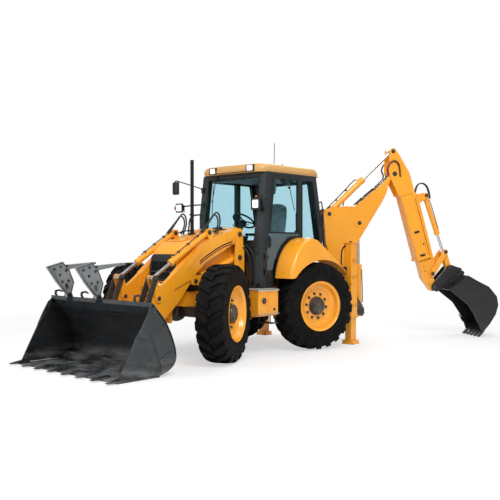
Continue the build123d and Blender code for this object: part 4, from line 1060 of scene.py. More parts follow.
# mirrors on their arms
mirrors = {
    "left": {"place": (1085, 762, 2352), "root": (1010, 664, 2360), "half": (62, 100)},
    "right": {"place": (1250, -1083, 2660), "root": (1000, -690, 2613), "half": (70, 110)},
}
for key, m in mirrors.items():
    x, y, z = m["place"]
    wide, tall = m["half"]
    side = 1 if y > 0 else -1
    s, glassPart = Shape(), Shape()
    top = z + tall + 14
    s.sweep(rounded([m["root"], (m["root"][0] + 30, m["root"][1] + side * 22, m["root"][2] + 40),
                     (x + 14, y - side * 40, top), (x + 14, y, top), (x + 14, y, z)], 10, 4)[2:-2], 9, 10)
    s.box(m["root"][0] - 24, m["root"][0] + 24, m["root"][1] - side * 26, m["root"][1] + side * 6,
          m["root"][2] - 45, m["root"][2] + 45)
    outline = rounded([(x - 12, y - wide, z - tall), (x - 12, y + wide, z - tall),
                       (x - 12, y + wide, z + tall), (x - 12, y - wide, z + tall)], 24)
    rings = [outline]
    for dx, k in ((14, 1.0), (34, 0.9), (44, 0.62)):
        rings.append([Vector((p.x + dx, y + (p.y - y) * k, z + (p.z - z) * k)) for p in outline])
    n = len(outline)
    for a, b in zip(rings, rings[1:]):
        s.add([tuple(p) for p in a + b], [(i, (i + 1) % n, (i + 1) % n + n, i + n) for i in range(n)])
    s.add([tuple(p) for p in rings[0]], [tuple(range(n))])
    s.add([tuple(p) for p in rings[-1]], [tuple(range(n))])
    bmesh.ops.remove_doubles(s.bm, verts=s.bm.verts, dist=0.00005)
    s.finish(key + "MirrorShell", darkPlastic, "chassis", 1.5)
    face = [Vector((p.x - 1.5, y + (p.y - y) * 0.92, z + (p.z - z) * 0.92)) for p in outline]
    glassPart.add([tuple(p) for p in face] + [(p.x + 3, p.y, p.z) for p in face],
                  [tuple(range(n)), tuple(range(2 * n - 1, n - 1, -1))]
                  + [(i, (i + 1) % n, (i + 1) % n + n, i + n) for i in range(n)])
    glassPart.finish(key + "MirrorFace", mirrorFace, "chassis", 0)


def workLamp(name, place, direction, size=1.0, edge=12, high=56):
    # A square work lamp: ribbed shell, bezel, lens and stirrup.
    d = Vector(direction).normalized()
    across = d.cross(Vector((0, 0, 1))).normalized()
    up = across.cross(d)
    c = Vector(place)

    def put(a, b, e):
        p = c + d * a * size + across * b * size + up * e * size
        return at(p.x, p.y, p.z)

    def plate(s, a0, a1, half0, half1, tall0, tall1):
        ring = []
        for a, h, t in ((a0, half0, tall0), (a1, half1, tall1)):
            ring += [(a, q.x, q.y) for q in rounded([(-h, -t, 0), (h, -t, 0), (h, t, 0), (-h, t, 0)], 14, 3)]
        n = len(ring) // 2
        s.add(ring, [tuple(range(n)), tuple(range(2 * n - 1, n - 1, -1))]
              + [(i, (i + 1) % n, (i + 1) % n + n, i + n) for i in range(n)])

    s = Shape(put)
    plate(s, -58, -6, 46, 72, 34, 52)
    plate(s, -6, 14, 76, 76, high, high)
    for k in range(5):
        plate(s, -50 + k * 9, -47 + k * 9, 56 + k * 3, 56 + k * 3, 42 + k * 2, 42 + k * 2)
    s.sweep([Vector(p) for p in ((-20, -84, 0), (-20, -84, -62), (-20, 84, -62), (-20, 84, 0))], 6, 8)
    s.finish(name + "Shell", darkPlastic, "chassis", 1.5)
    s = Shape(put)
    plate(s, 12, 18, 76 - edge, 73 - edge, high - edge, high - 3 - edge)
    s.finish(name + "Lens", lampLens, "chassis", 1.5)


workLamp("leftRoofLamp", (1054, 455, 2912), (1, 0.1, -0.06), 0.85, 8)
workLamp("rightRoofLamp", (1054, -380, 2912), (1, -0.02, -0.06), 0.85, 8)
workLamp("leftRearLamp", (-472, 430, 2925), (-1, 0.1, -0.15))
workLamp("rightRearLamp", (-472, -430, 2925), (-1, -0.1, -0.15))
workLamp("leftHeadLamp", (1160, 676, 2330), (1, 0.12, -0.02), 1.12, 27, 82)
workLamp("rightHeadLamp", (1205, -1040, 2327), (1, -0.05, -0.02), 1.15, 18, 66)
s = Shape()  # brackets of the pillar lamps, with the turn indicators
s.sweep([Vector(p) for p in ((1015, 664, 2250), (1090, 672, 2240), (1130, 672, 2262))], 10, 10)
s.sweep([Vector(p) for p in ((1005, -664, 2370), (1080, -718, 2372), (1170, -980, 2352),
                             (1180, -1040, 2300))], 12, 10)
s.box(990, 1040, 628, 676, 2215, 2285)
s.box(990, 1040, -676, -628, 2330, 2410)
s.turn((1124, 672, 2446), (1, 0.1, 0), [(0, 20), (24, 22), (30, 19)], 28)
s.rod((1120, 672, 2370), (1128, 672, 2446), 8, 12)
s.turn((1165, -1150, 2327), (1, -0.1, 0), [(0, 30), (30, 32), (36, 28)], 28)
s.rod((1165, -1060, 2327), (1165, -1130, 2327), 8, 12)
s.finish("lampBrackets", darkPlastic, "chassis", 1)
s = Shape()
s.turn((1154, 675, 2446), (1, 0.1, 0), [(0, 19), (6, 17), (10, 10), (11, 1)], 28)
s.turn((1201, -1153, 2327), (1, -0.1, 0), [(0, 28), (10, 26), (16, 16), (17, 1)], 28)
s.finish("turnSignals", amberLens, "chassis", 0)

s = Shape()  # dark boxes of painted shade in the lamp recesses and the visor gap, beacon socket and aerial
for side in (1, -1):
    middleY = 455 if side > 0 else -380
    # the dark boxes in the lamp recesses and the visor gap are painted shade
    s.box(1040, 1062, middleY - 88, middleY + 88, 2860, 2962)
    s.box(-484, -472, side * 345, side * 520, 2868, 2984)
s.box(1050, 1059, -352, 352, 2858, 2868)
s.rod((-43, 0, 2999), (-43, 0, 3016), 26, 24, 4)
s.sweep([Vector((-43 - 16 * k / 8, 0.0, 3010 + 450 * k / 8)) for k in range(9)], 6, 10)
s.sweep([Vector((-43, 0, 3010 + 12 * k)) for k in range(6)], 9, 10)
for y in (640, -640):
    s.rod((480, y, 2990), (480, y, 3003), 13, 20, 2)
s.finish("roofTrim", sealRubber, "chassis", 1)
s = Shape()
s.column([(p.x, p.y) for p in rounded([(250, -270, 0), (720, -270, 0), (720, 270, 0), (250, 270, 0)], 60)],
         3000, 3024)
s.column([(p.x, p.y) for p in rounded([(-380, -430, 0), (120, -430, 0), (120, 430, 0), (-380, 430, 0)], 80)],
         2985, 3017)
s.finish("roofPanels", roofYellow, "chassis", 6, "yellow_paint")
s = Shape()  # moulded roof cap, crowned and rounded all round
rings = []
for inset, z in ((60, 2851), (24, 2853), (7, 2864), (0, 2886), (1, 2912), (9, 2942), (27, 2966), (58, 2983),
                 (110, 2995), (220, 3006), (400, 3013), (600, 3015)):
    line = rounded([(1060 - inset, inset - 715, 0), (1060 - inset, 715 - inset, 0),
                    (-480 + inset, 715 - inset, 0), (-480 + inset, inset - 715, 0)],
                   max(40, 250 - inset * 0.5), 8)
    rings.append([(p.x, p.y, z) for p in line])
count = len(rings[0])
for a, b in zip(rings, rings[1:]):
    s.add(a + b, [(i, (i + 1) % count, (i + 1) % count + count, i + count) for i in range(count)])
s.add(rings[0], [tuple(range(count))])
s.add(rings[-1], [tuple(range(count))])
bmesh.ops.remove_doubles(s.bm, verts=s.bm.verts, dist=0.00005)
s.finish("roofCap", roofYellow, "chassis", 0, "yellow_paint", 40, ["cab_roof"])
s = Shape()  # roof's lower lip, drawn in under the cap
s.sweep(rounded([(1040, -600, 2856), (1040, 600, 2856), (900, 706, 2856), (-380, 706, 2856),
                 (-468, 600, 2856), (-468, -600, 2856), (-380, -706, 2856), (900, -706, 2856)], 70), 9, 8,
        close=True)
s.finish("roofLip", roofYellow, "chassis", 0, "yellow_paint")

# inside the cab
def cushion(name, corners, thickness, material, crown=22, channels=0, replaces=(), bend=0.35):
    # A crowned pad over four corners, with sewn channels across it.
    a, b, c, d = (Vector(p) for p in corners)
    up = (b - a).cross(d - a).normalized()
    cols, rows = 25, 25
    bm = bmesh.new()
    grid = {}
    for layer in (0, 1):
        for i in range(cols):
            for j in range(rows):
                u, v = i / (cols - 1), j / (rows - 1)
                p, q = 2 * u - 1, 2 * v - 1
                across = (p * math.sqrt(1 - q * q * bend / 2) + 1) / 2
                along = (q * math.sqrt(1 - p * p * bend / 2) + 1) / 2
                p = (a * (1 - across) + b * across) * (1 - along) + (d * (1 - across) + c * across) * along
                edge = min(u, 1 - u, v, 1 - v)
                rounding = 1 - max(0, 1 - edge / 0.12) ** 2.2
                lift = thickness / 2 * rounding + crown * math.sin(math.pi * u) * math.sin(math.pi * v)
                if channels and 0.1 < v < 0.9:
                    flank = max(0, 1 - abs(((u * channels) % 1) - 0.5) / 0.5)
                    nearSeam = (((u * channels + 0.5) % 1) - 0.5) / 0.09
                    lift -= 7 * flank ** 0.1 * math.exp(-nearSeam ** 2)
                sign = 1 if layer else -1
                q = p + up * (lift if layer else -thickness / 2 * rounding)
                grid[layer, i, j] = bm.verts.new(at(q.x, q.y, q.z))
    for layer in (0, 1):
        for i in range(cols - 1):
            for j in range(rows - 1):
                bm.faces.new([grid[layer, i, j], grid[layer, i + 1, j], grid[layer, i + 1, j + 1],
                              grid[layer, i, j + 1]])
    bmesh.ops.remove_doubles(bm, verts=bm.verts, dist=0.0004)
    s = Shape()
    s.bm.free()
    s.bm = bm
    piece = s.finish(name, material, "chassis", 0, "seat_fabric", 60, replaces, levels=1)
    return piece


cushion("seatBase", [(60, -235, 1560), (560, -245, 1575), (560, 245, 1575), (60, 235, 1560)], 120, seatCloth,
        20, 3, ["operator_seat"], 0.25)
cushion("seatBack", [(40, -265, 1600), (40, 265, 1600), (-118, 262, 2425), (-118, -262, 2425)], 120,
        seatCloth, 20, 0, bend=0.55)
s = Shape()
s.box(110, 500, -190, 190, 1462, 1510)
for k in range(6):  # suspension bellows
    s.box(140 - 8 * (k % 2), 470 + 8 * (k % 2), -165 - 8 * (k % 2), 165 + 8 * (k % 2), 1180 + k * 46,
          1222 + k * 46)
s.box(120, 490, -180, 180, 1060, 1180)
for side in (1, -1):
    s.prism([(-10, 1850), (330, 1860), (345, 1900), (0, 1905)], side * 268, side * 330)
    s.rod((20, side * 230, 1720), (20, side * 300, 1870), 16, 12)
s.finish("seatFrame", darkPlastic, "chassis", 8)

s = Shape()
s.prism([(905, 1060), (1060, 1060), (1060, 1700), (1010, 1790), (880, 1840), (840, 1800), (900, 1660)], -210,
        210)
s.prism([(860, 1815), (1000, 1770), (1010, 1800), (870, 1850)], -240, 240)
s.rod((900, 0, 1800), (735, 0, 2060), 38, 24, 6)
s.rod((745, 0, 2045), (715, 0, 2092), 58, 32, 10)
centre, axis = Vector((715, 0, 2096)), Vector((-0.58, 0, 0.81)).normalized()
u, v = Vector((0, 1, 0)), axis.cross(Vector((0, 1, 0)))
ringLine = [centre + (u * math.cos(t) + v * math.sin(t)) * 188
            for t in (2 * math.pi * k / 48 for k in range(48))]
s.sweep(ringLine, 15, 12, close=True)
for t in (0.5, math.pi - 0.5, 1.5 * math.pi):
    s.sweep([centre + (u * math.cos(t) + v * math.sin(t)) * r - axis * (8 if r < 100 else 0)
             for r in (30, 100, 186)], 12, 10)
s.rod(tuple(centre + u * 150 + v * 90), tuple(centre + u * 150 + v * 90 + axis * 70), 20, 16, 6)
s.rod((770, 60, 2010), (800, 190, 2030), 7, 10)
s.rod((770, -60, 2010), (800, -190, 2030), 7, 10)
s.finish("steeringDesk", darkPlastic, "chassis", 6, "cab_plastic", replaces=["steering_console"])

s = Shape()
for side in (1, -1):
    s.prism([(-420, 1480), (560, 1480), (560, 1600), (420, 1720), (-420, 1700)], side * 430, side * 640)
    for k in range(3):
        x = 470 - k * 90
        s.rod((x, side * 520, 1690 - k * 4), (x + 14, side * 520, 1800), 8, 12)
        s.turn((x + 14, side * 520, 1790), (0, 0, 1), [(0, 14), (14, 24), (40, 24), (54, 14)], 20)
    s.rod((-340, side * 230, 1600), (-360, side * 230, 1900), 12, 12)  # backhoe control levers
    s.turn((-360, side * 230, 1880), (0, 0, 1), [(0, 16), (20, 28), (60, 26), (76, 14)], 20)
    s.box(-440, -300, side * 150, side * 300, 1480, 1640)
s.box(-520, 790, -410, 410, 1062, 1074)
s.box(790, 1070, -660, 660, 1062, 1074)
for k in range(9):
    s.box(600, 850, -380 + k * 90, -360 + k * 90, 1074, 1080)
s.prism([(800, 1110), (870, 1180), (880, 1170), (820, 1100)], 90, 170)
s.prism([(800, 1110), (870, 1180), (880, 1170), (820, 1100)], -170, -90)
s.finish("cabConsoles", greyPlastic, "chassis", 10)
s = Shape()
s.prism([(-270, 2808), (-250, 2772), (820, 2772), (900, 2808)], -600, 600)
s.box(800, 930, -580, 580, 2735, 2775)
s.box(640, 760, 560, 650, 2560, 2700)
s.box(-300, -180, -300, -180, 2600, 2760)
s.prism([(180, 2775), (260, 2680), (330, 2680), (400, 2775)], 500, 640)
s.finish("cabHeadliner", greyPlastic, "chassis", 12)
print("cab made")


# Backhoe: pins, doubler plates, hoses, wear pads, coupler and bucket.
def arcHose(s, points, r=11, sides=12):
    s.tube(points, r, sides, 8)


foot, ramFoot, ramEye, tip = (180, 900), (400, 500), (380, 2100), (1050, 3000)
dipperFoot, dipperEye = (-190, 2260), (1020, 3410)
ramHead, guideAt, linkAt = dip(541, 524), dip(1963, 235), dip(1645, 594)
pinAt, toolAt = dip(2219, 215), dip(1958, 610)

s = Shape(hoeAt)
for side in (1, -1):
    pinCap(s, foot[0], foot[1], side * 137, side, 35)
    pinCap(s, ramFoot[0], ramFoot[1], side * 137, side, 35)
    for x, z in ((70, 500), (70, 640), (200, 470), (330, 480)):
        s.hexHead((x, side * 135, z), (0, side, 0), 12, 9)
s.turn((0, 0, 0), (0, 0, 1), [(722, 112), (724, 112), (724, 60), (722, 60)], 40, True)
s.finish("postPins", boltSteel, "swing_post", 1)

s = Shape(hoeAt)
for side in (1, -1):
    pinCap(s, ramEye[0], ramEye[1], side * 108, side, 30)
    pinCap(s, dipperFoot[0], dipperFoot[1], side * 108, side, 30)
s.finish("boomPins", boltSteel, "boom", 1)

s = Shape(hoeAt)
for side in (1, -1):
    y0, y1 = side * 100, side * 108
    s.turn((ramEye[0], y0, ramEye[1]), (0, side, 0), [(0, 92), (6, 92), (8, 89)], 48)
    s.turn((dipperFoot[0], y0, dipperFoot[1]), (0, side, 0), [(0, 74), (6, 74), (8, 71)], 48)
    s.turn((foot[0], y0, foot[1]), (0, side, 0), [(0, 74), (3, 74), (4, 72)], 48)
    s.prism([(250, 1340), (292, 1500), (342, 1738), (512, 2008), (782, 2432), (880, 2600), (868, 2612),
             (765, 2440), (496, 2020), (326, 1748), (276, 1504), (236, 1345)], y0, side * 104)
    s.prism([(-146, 2366), (132, 2388), (303, 2389), (488, 2538), (776, 2766), (770, 2776), (480, 2550),
             (298, 2398), (130, 2398), (-150, 2378)], y0, side * 104)
    s.prism([(-276, 2240), (-270, 2100), (-240, 1752), (-156, 1455), (72, 1058), (62, 1050), (-170, 1450),
             (-255, 1750), (-285, 2100), (-291, 2240)], y0, side * 104)
s.finish("boomPlates", yellow, "boom", 1.5, "yellow_paint")

# hoses from the post up the boom, black then the dark red pair over the tip
s = Shape(hoeAt)
for k, y in enumerate((-78, -50, 50, 78)):
    lift = 16 + (k % 2) * 3
    arcHose(s, [(-120, y, 1300), (-190, y, 1440), (-262 - lift, y, 1700), (-292 - lift, y, 2050),
                (-300 - lift, y, 2230), (-275 - lift * 0.6, y, 2345)], 11)
    s.rod((-112, y, 1280), (-128, y, 1318), 15, 8)
for z in (1600, 1950, 2200):
    x = -170 - (z - 1450) * 85 / 300 if z < 1750 else (-255 - (z - 1750) * 30 / 350 if z < 2100 else -290)
    s.box(x - 34, x + 4, -96, 96, z - 12, z + 12)
s.finish("boomHoses", hoseRubber, "boom", 1)
s = Shape(hoeAt)
for k, y in enumerate((-62, 62)):
    arcHose(s, [(330, y, 2434), (486, y, 2568), (640, y, 2692), (775, y, 2800), (850, y, 2872),
                (905, y, 2934)], 11)
    s.rod((888, y, 2914), (912, y, 2942), 15, 8)
for u, z in ((480, 2562), (700, 2738)):
    s.prism([(u - 18, z - 20), (u + 10, z + 4), (u + 2, z + 22), (u - 28, z - 2)], -80, 80)
s.finish("boomTipLines", hoseRubber, "boom", 1)
s = Shape(hoeAt)
for y in (136, 152, -136, -152):
    arcHose(s, [(905, y * 0.55, 2935), (925, y * 0.8, 2990), (905, y, 3085), (950, y, 3190), (1040, y, 3235),
                (1110, y, 3190), (1140, y, 3100), (1150, y * 0.93, 3010), (1160, y * 0.9, 2950)], 12)
s.finish("tipHoses", hoseBrown, "dipper", 0)

s = Shape(hoeAt)  # dipper ram: gland, ports and its hose down to the boom
ramTrim(s, dipperFoot, dipperEye, 0, 930, 55)
s.finish("dipperRamGland", yellow, "dipper_barrel", 1.2, "yellow_paint")
s = Shape(hoeAt)
for d0, w in ((840, 26), (130, -26)):
    path = [ramPoint(dipperFoot, dipperEye, w, d0, 66), ramPoint(dipperFoot, dipperEye, w, d0 - 30, 92),
            ramPoint(dipperFoot, dipperEye, w, d0 - 110, 96),
            ramPoint(dipperFoot, dipperEye, w, max(70, d0 - 420), 82),
            ramPoint(dipperFoot, dipperEye, w, 48, 78)]
    arcHose(s,
            path if d0 > 200 else path[:1]
            + [ramPoint(dipperFoot, dipperEye, w, 70, 84), ramPoint(dipperFoot, dipperEye, w, 30, 76)], 9)
for d in (300, 560):
    c = ramPoint(dipperFoot, dipperEye, 26, d, 70)
    s.box(c[0] - 14, c[0] + 14, 8, 44, c[2] - 14, c[2] + 14)
arcHose(s, [ramPoint(dipperFoot, dipperEye, 50, 470, 40), ramPoint(dipperFoot, dipperEye, 84, 440, 0),
            ramPoint(dipperFoot, dipperEye, 88, 400, -70), ramPoint(dipperFoot, dipperEye, 70, 330, -110)], 9)
s.finish("dipperRamPipes", hoseRubber, "dipper_barrel", 0)
s = Shape(hoeAt)
ramTrim(s, ramFoot, ramEye, 0, 850, 60, -1)
s.finish("boomRamGland", yellow, "boom_barrel", 1.2, "yellow_paint")
s = Shape(hoeAt)
arcHose(s, [ramPoint(ramFoot, ramEye, 0, 150, -72), ramPoint(ramFoot, ramEye, 0, 260, -82),
            ramPoint(ramFoot, ramEye, 0, 520, -76), ramPoint(ramFoot, ramEye, 0, 755, -70)], 8)
s.finish("boomRamPipe", hoseRubber, "boom_barrel", 0)

# dipper: pivot bosses, side ribs, wear pads at the open end and clamps for the lines
s = Shape(hoeAt)
for side in (1, -1):
    pinCap(s, tip[0], tip[1], side * 128, side, 38)
    pinCap(s, dipperEye[0], dipperEye[1], side * 128, side, 30)
s.finish("dipperPins", boltSteel, "dipper", 1)
s = Shape(hoeAt)
for side in (1, -1):
    y0 = side * 124
    s.turn((tip[0], y0, tip[1]), (0, side, 0), [(0, 92), (4, 92), (6, 89)], 48)
    s.turn((dipperEye[0], y0, dipperEye[1]), (0, side, 0), [(0, 58), (4, 58), (6, 55)], 40)
    s.prism([dip(*p) for p in ((470, 24), (1640, 24), (1640, 44), (470, 44))], side * 110, side * 117)
    s.prism([dip(*p) for p in ((470, 236), (1640, 236), (1640, 256), (470, 256))], side * 110, side * 117)
s.prism([dip(*p) for p in ((1610, -2), (1662, -2), (1662, 282), (1610, 282))], 110, 122)
s.prism([dip(*p) for p in ((1610, -2), (1662, -2), (1662, 282), (1610, 282))], -122, -110)
s.prism([dip(*p) for p in ((1610, -2), (1662, -2), (1662, 10), (1610, 10))], -122, 122)
s.prism([dip(*p) for p in ((1610, 270), (1662, 270), (1662, 282), (1610, 282))], -122, 122)
for side in (1, -1):
    s.prism([dip(*p) for p in ((430, 268), (560, 268), (470, 330), (420, 300))], side * 96, side * 108)
s.finish("dipperPlates", yellow, "dipper", 1.5, "yellow_paint")
s = Shape(hoeAt)
for side in (1, -1):
    for a, b in ((1560, 1600), (1120, 1160)):
        s.prism([dip(*p) for p in ((a, 90), (b, 90), (b, 190), (a, 190))], side * 110, side * 116)
        for t in (105, 175):
            u, z = dip((a + b) / 2, t)
            s.hexHead((u, side * 115, z), (0, side, 0), 9, 8)
    s.prism([dip(*p) for p in ((1656, 50), (1672, 50), (1672, 230), (1656, 230))], side * 77, side * 106)
    u, z = dip(1385, 215)
    s.turn((u, side * 110, z), (0, side, 0), [(0, 15), (5, 15), (6, 12)], 24)
s.finish("wearPads", darkPlastic, "dipper", 1.5)
s = Shape(hoeAt)
for k, t in enumerate((62, 84)):
    s.tube([(*dip(240, t)[:1], 128, dip(240, t)[1]), (dip(430, t)[0], 130, dip(430, t)[1]),
            (dip(520, t)[0], 126, dip(520, t)[1]), (dip(900, t)[0], 122, dip(900, t)[1]),
            (dip(1150, t)[0], 122, dip(1150, t)[1])], 7, 10)
for sAt in (560, 860, 1120):
    s.prism([dip(*p) for p in ((sAt, 48), (sAt + 24, 48), (sAt + 24, 98), (sAt, 98))], 110, 132)
s.finish("dipperPipes", hoseRubber, "dipper", 1)

# sliding inner stick: its ram's barrel, hose loop, guide and tool pins
s = Shape(hoeAt)
for side in (1, -1):
    pinCap(s, ramHead[0], ramHead[1], side * 76, side, 28)
    for sAt, t in ((1800, 120), (1880, 120), (2140, 130)):
        u, z = dip(sAt, t)
        s.hexHead((u, side * 75, z), (0, side, 0), 11, 8)
s.finish("stickPins", boltSteel, "extension", 1)
s = Shape(hoeAt)
for y in (-20, 20):
    arcHose(s, [(dip(470, 330)[0], y, dip(470, 330)[1]), (dip(330, 420)[0], y, dip(330, 420)[1]),
                (dip(300, 520)[0], y, dip(300, 520)[1]), (dip(370, 600)[0], y, dip(370, 600)[1]),
                (dip(500, 620)[0], y, dip(500, 620)[1]), (dip(620, 606)[0], y, dip(620, 606)[1])], 11)
s.prism([dip(*p) for p in ((455, 310), (500, 310), (500, 360), (455, 360))], -44, 44)
s.finish("stickHoses", hoseRubber, "extension", 1)
s = Shape(hoeAt)
ramTrim(s, ramHead, linkAt, 0, 760, 45)
s.finish("bucketRamGland", yellow, "hoe_bucket_barrel", 1.2, "yellow_paint")
s = Shape(hoeAt)
arcHose(s, [ramPoint(ramHead, linkAt, 0, 92, 58), ramPoint(ramHead, linkAt, 0, 200, 66),
            ramPoint(ramHead, linkAt, 0, 480, 60), ramPoint(ramHead, linkAt, 0, 665, 54)], 7)
s.finish("bucketRamPipe", hoseRubber, "hoe_bucket_barrel", 0)
s = Shape(hoeAt)
for side in (1, -1):
    pinCap(s, guideAt[0], guideAt[1], side * 121, side, 28)
    pinCap(s, linkAt[0], linkAt[1], side * 121, side, 28)
s.finish("guidePins", boltSteel, "guide_link", 1)

# quick coupler and digging bucket
a, u = pinAt, toolAt
s = Shape(hoeAt)
for side in (1, -1):
    s.turn((a[0], side * 100, a[1]), (0, side, 0), [(0, 34), (3.6, 34), (3.6, 4)], 36)
    s.turn((u[0], side * 100, u[1]), (0, side, 0), [(0, 28), (3.6, 28), (3.6, 4)], 36)
s.finish("couplerPins", boltSteel, "hoe_bucket", 1)
s = Shape(hoeAt)
for side in (1, -1):
    s.turn((a[0], side * 100, a[1]), (0, side, 0), [(0, 62), (2, 62), (3, 60)], 40)
    s.turn((u[0], side * 100, u[1]), (0, side, 0), [(0, 52), (2, 52), (3, 50)], 40)
    s.prism([(a[0] + 60, a[1] - 40), (a[0] + 400, a[1] + 130), (a[0] + 520, a[1] + 240),
             (a[0] + 500, a[1] + 262), (a[0] + 380, a[1] + 160), (a[0] + 50, a[1] - 14)], side * 100,
            side * 103)
    s.prism([(u[0] + 10, u[1] + 60), (a[0] + 520, a[1] + 345), (a[0] + 536, a[1] + 250),
             (a[0] + 520, a[1] + 248), (a[0] + 504, a[1] + 328), (u[0] + 6, u[1] + 42)], side * 100,
            side * 103)
    for du, dz in ((200, 110), (300, 190), (420, 250), (470, 300)):
        s.hexHead((a[0] + du, side * 100, a[1] + dz), (0, side, 0), 14, 3)
s.rod((a[0] + 470, -100, a[1] + 285), (a[0] + 470, 100, a[1] + 285), 28, 24)
s.box(a[0] + 250, a[0] + 330, -78, 78, a[1] + 150, a[1] + 215)
s.finish("couplerCastings", hoeSteel, "hoe_bucket", 2, "black_steel")
s = Shape(hoeAt)
arcHose(s, [(a[0] + 290, 30, a[1] + 215), (a[0] + 306, 40, a[1] + 268), (a[0] + 372, 40, a[1] + 288),
            (a[0] + 440, 26, a[1] + 280)], 8)
arcHose(s, [(a[0] + 290, -30, a[1] + 215), (a[0] + 306, -40, a[1] + 268), (a[0] + 372, -40, a[1] + 288),
            (a[0] + 440, -26, a[1] + 280)], 8)
s.finish("couplerHoses", hoseRubber, "hoe_bucket", 0)


def bucketAt(du, dz):
    return (a[0] + du, a[1] + dz)


s = Shape(hoeAt)
for side in (1, -1):  # welded edge strips, side cutters and eye plates
    y0, y1 = side * 300, side * 303
    s.prism([bucketAt(*p) for p in ((560, -310), (760, -600), (850, -850), (880, -836), (800, -596),
                                    (606, -296), (440, -80), (420, -104))], y0, y1)
    s.prism([bucketAt(*p) for p in ((742, -590), (800, -560), (812, -640), (786, -700), (742, -640),
                                    (700, -560), (690, -520))], y0, side * 306)
    s.prism([bucketAt(*p) for p in ((1000, -690), (1130, -500), (1180, -330), (1166, -326), (1116, -490),
                                    (988, -676))], y0, y1)
    for du, dz in ((770, -610), (735, -560), (830, -700), (1000, -600), (1080, -480)):
        s.hexHead((a[0] + du, y0, a[1] + dz), (0, side, 0), 13, 4)
    for du, dz in ((330, 105), (540, 262)):
        s.turn((a[0] + du, side * 124, a[1] + dz), (0, side, 0), [(0, 42), (8, 42), (10, 38)], 32)
        s.turn((a[0] + du, side * 132, a[1] + dz), (0, side, 0), [(0, 26), (8, 26), (10, 22)], 28)
for y0 in (-210, -70, 70, 210):  # wear straps round the back
    inner = [bucketAt(*p) for p in ((990, 10), (1150, -170), (1180, -330), (1130, -500), (1000, -690),
                                    (850, -850))]
    outerLine = [bucketAt(*p) for p in ((992, 14), (1154, -168), (1182.5, -330), (1132.5, -501), (1003, -693),
                                        (854, -854))]
    s.prism(inner + outerLine[::-1], y0 - 22, y0 + 22)
s.prism([bucketAt(*p) for p in ((850, -850), (880, -822), (858, -800), (826, -830))], -300, 300)
for i in range(5):
    y = (i - 2) * 135
    s.prism([bucketAt(*p) for p in ((812, -846), (878, -784), (902, -806), (868, -852), (790, -918),
                                    (766, -908), (790, -868))], y - 30, y + 30)
    s.rod((bucketAt(840, -834)[0], y - 36, bucketAt(840, -834)[1]),
          (bucketAt(840, -834)[0], y + 36, bucketAt(840, -834)[1]), 9, 12)
s.finish("hoeBucketTrim", hoeSteel, "hoe_bucket", 2, "black_steel")
print("backhoe made")


# Rear frame, stabilisers, tanks, fenders and driveline.
rear = {"legX": -905, "legY": 1000, "half": (90, 75), "top": 1730, "low": 450, "face": -1060}

s = Shape()
for side in (1, -1):
    y = side * rear["legY"]
    w, d = rear["half"]
    s.box(rear["legX"] - w - 14, rear["legX"] + w + 14, y - d - 14, y + d + 14, rear["top"] - 4,
          rear["top"] + 14)
    s.box(rear["legX"] - w - 12, rear["legX"] + w + 12, y - d - 12, y + d + 12, rear["low"] - 2,
          rear["low"] + 46)
    s.box(rear["legX"] - w - 10, rear["legX"] + w + 10, y - d - 10, y + d + 10, 1036, 1060)
    for z in (640, 1120, 1400):
        s.box(rear["legX"] - w - 5, rear["legX"] - w, y - 50, y + 50, z, z + 60)
        s.box(rear["legX"] - 60, rear["legX"] + 60, side * (rear["legY"] + d), side * (rear["legY"] + d + 5),
              z, z + 60)
    s.prism([(rear["legX"] + w, 1040), (rear["legX"] + w + 6, 1040), (rear["legX"] + w + 6, 570),
             (rear["legX"] + w, 570)], side * 925, side * 780)
    s.column([(-1060, side * 925), (-1060, side * 850), (-1000, side * 925)], 1034, 1046)
    s.column([(-820, side * 925), (-820, side * 760), (-870, side * 925)], 1034, 1046)
s.finish("legCollars", yellow, "chassis", 2, "yellow_paint")
s = Shape()
for side in (1, -1):
    y = side * (rear["legY"] + 80)
    for z in (655, 685, 1135, 1165, 1415, 1445):
        for x in (-40, 40):
            s.hexHead((rear["legX"] + x, y, z), (0, side, 0), 9, 8)
    for z in (464, 484):
        s.turn((rear["legX"], side * (rear["legY"] + 87), z), (0, side, 0), [(0, 6), (5, 6)], 12)
    s.turn((rear["legX"], side * rear["legY"], rear["top"] + 13), (0, 0, 1),
           [(0, 32), (10, 32), (12, 20), (24, 20), (26, 16)], 28)
s.finish("legBolts", boltSteel, "chassis", 0.8)
s = Shape()
for side in (1, -1):  # leg hoses from the valve down to the leg's top port
    y = side * 890
    for k in (0, 1):
        s.tube([(-830 + 14 * k, side * (640 - 30 * k), 1240), (-818 + 14 * k, side * (800 - 10 * k), 1200),
                (-790, y - side * 10, 1300 + 20 * k), (-785, y, 1460 + 20 * k), (-800, y + side * 10, 1620),
                (-820, side * 958, 1700 - 18 * k)], 12, 12)
    s.tube([(-812, side * 600, 1005), (-800, side * 700, 1080), (-802, side * 760, 1180),
            (-830, side * 640, 1240)], 12, 12)
    s.box(-852, -818, side * 560, side * 690, 1215, 1275)
s.finish("legHoses", hoseRubber, "chassis", 1)

for side, body in ((1, "left_stabiliser"), (-1, "right_stabiliser")):
    y = side * rear["legY"]
    s = Shape()
    s.box(-905 - 100, -905 + 100, y - 110, y + 110, 58, 66)
    s.column([(-1000, y - 100), (-810, y - 100), (-810, y + 100), (-1000, y + 100)], 62, 67)
    s.finish(body + "Foot", yellow, body, 2, "yellow_paint")
    s = Shape()
    for dx in (-84, 0, 84):
        for dy in (-99, 99):
            s.hexHead((-905 + dx, y + dy, 66), (0, 0, 1), 9, 3)
    s.box(-905 - 103, -905 + 103, y - 113, y + 113, 0.5, 16)
    s.finish(body + "Sole", chassisBlack, body, 1.5)

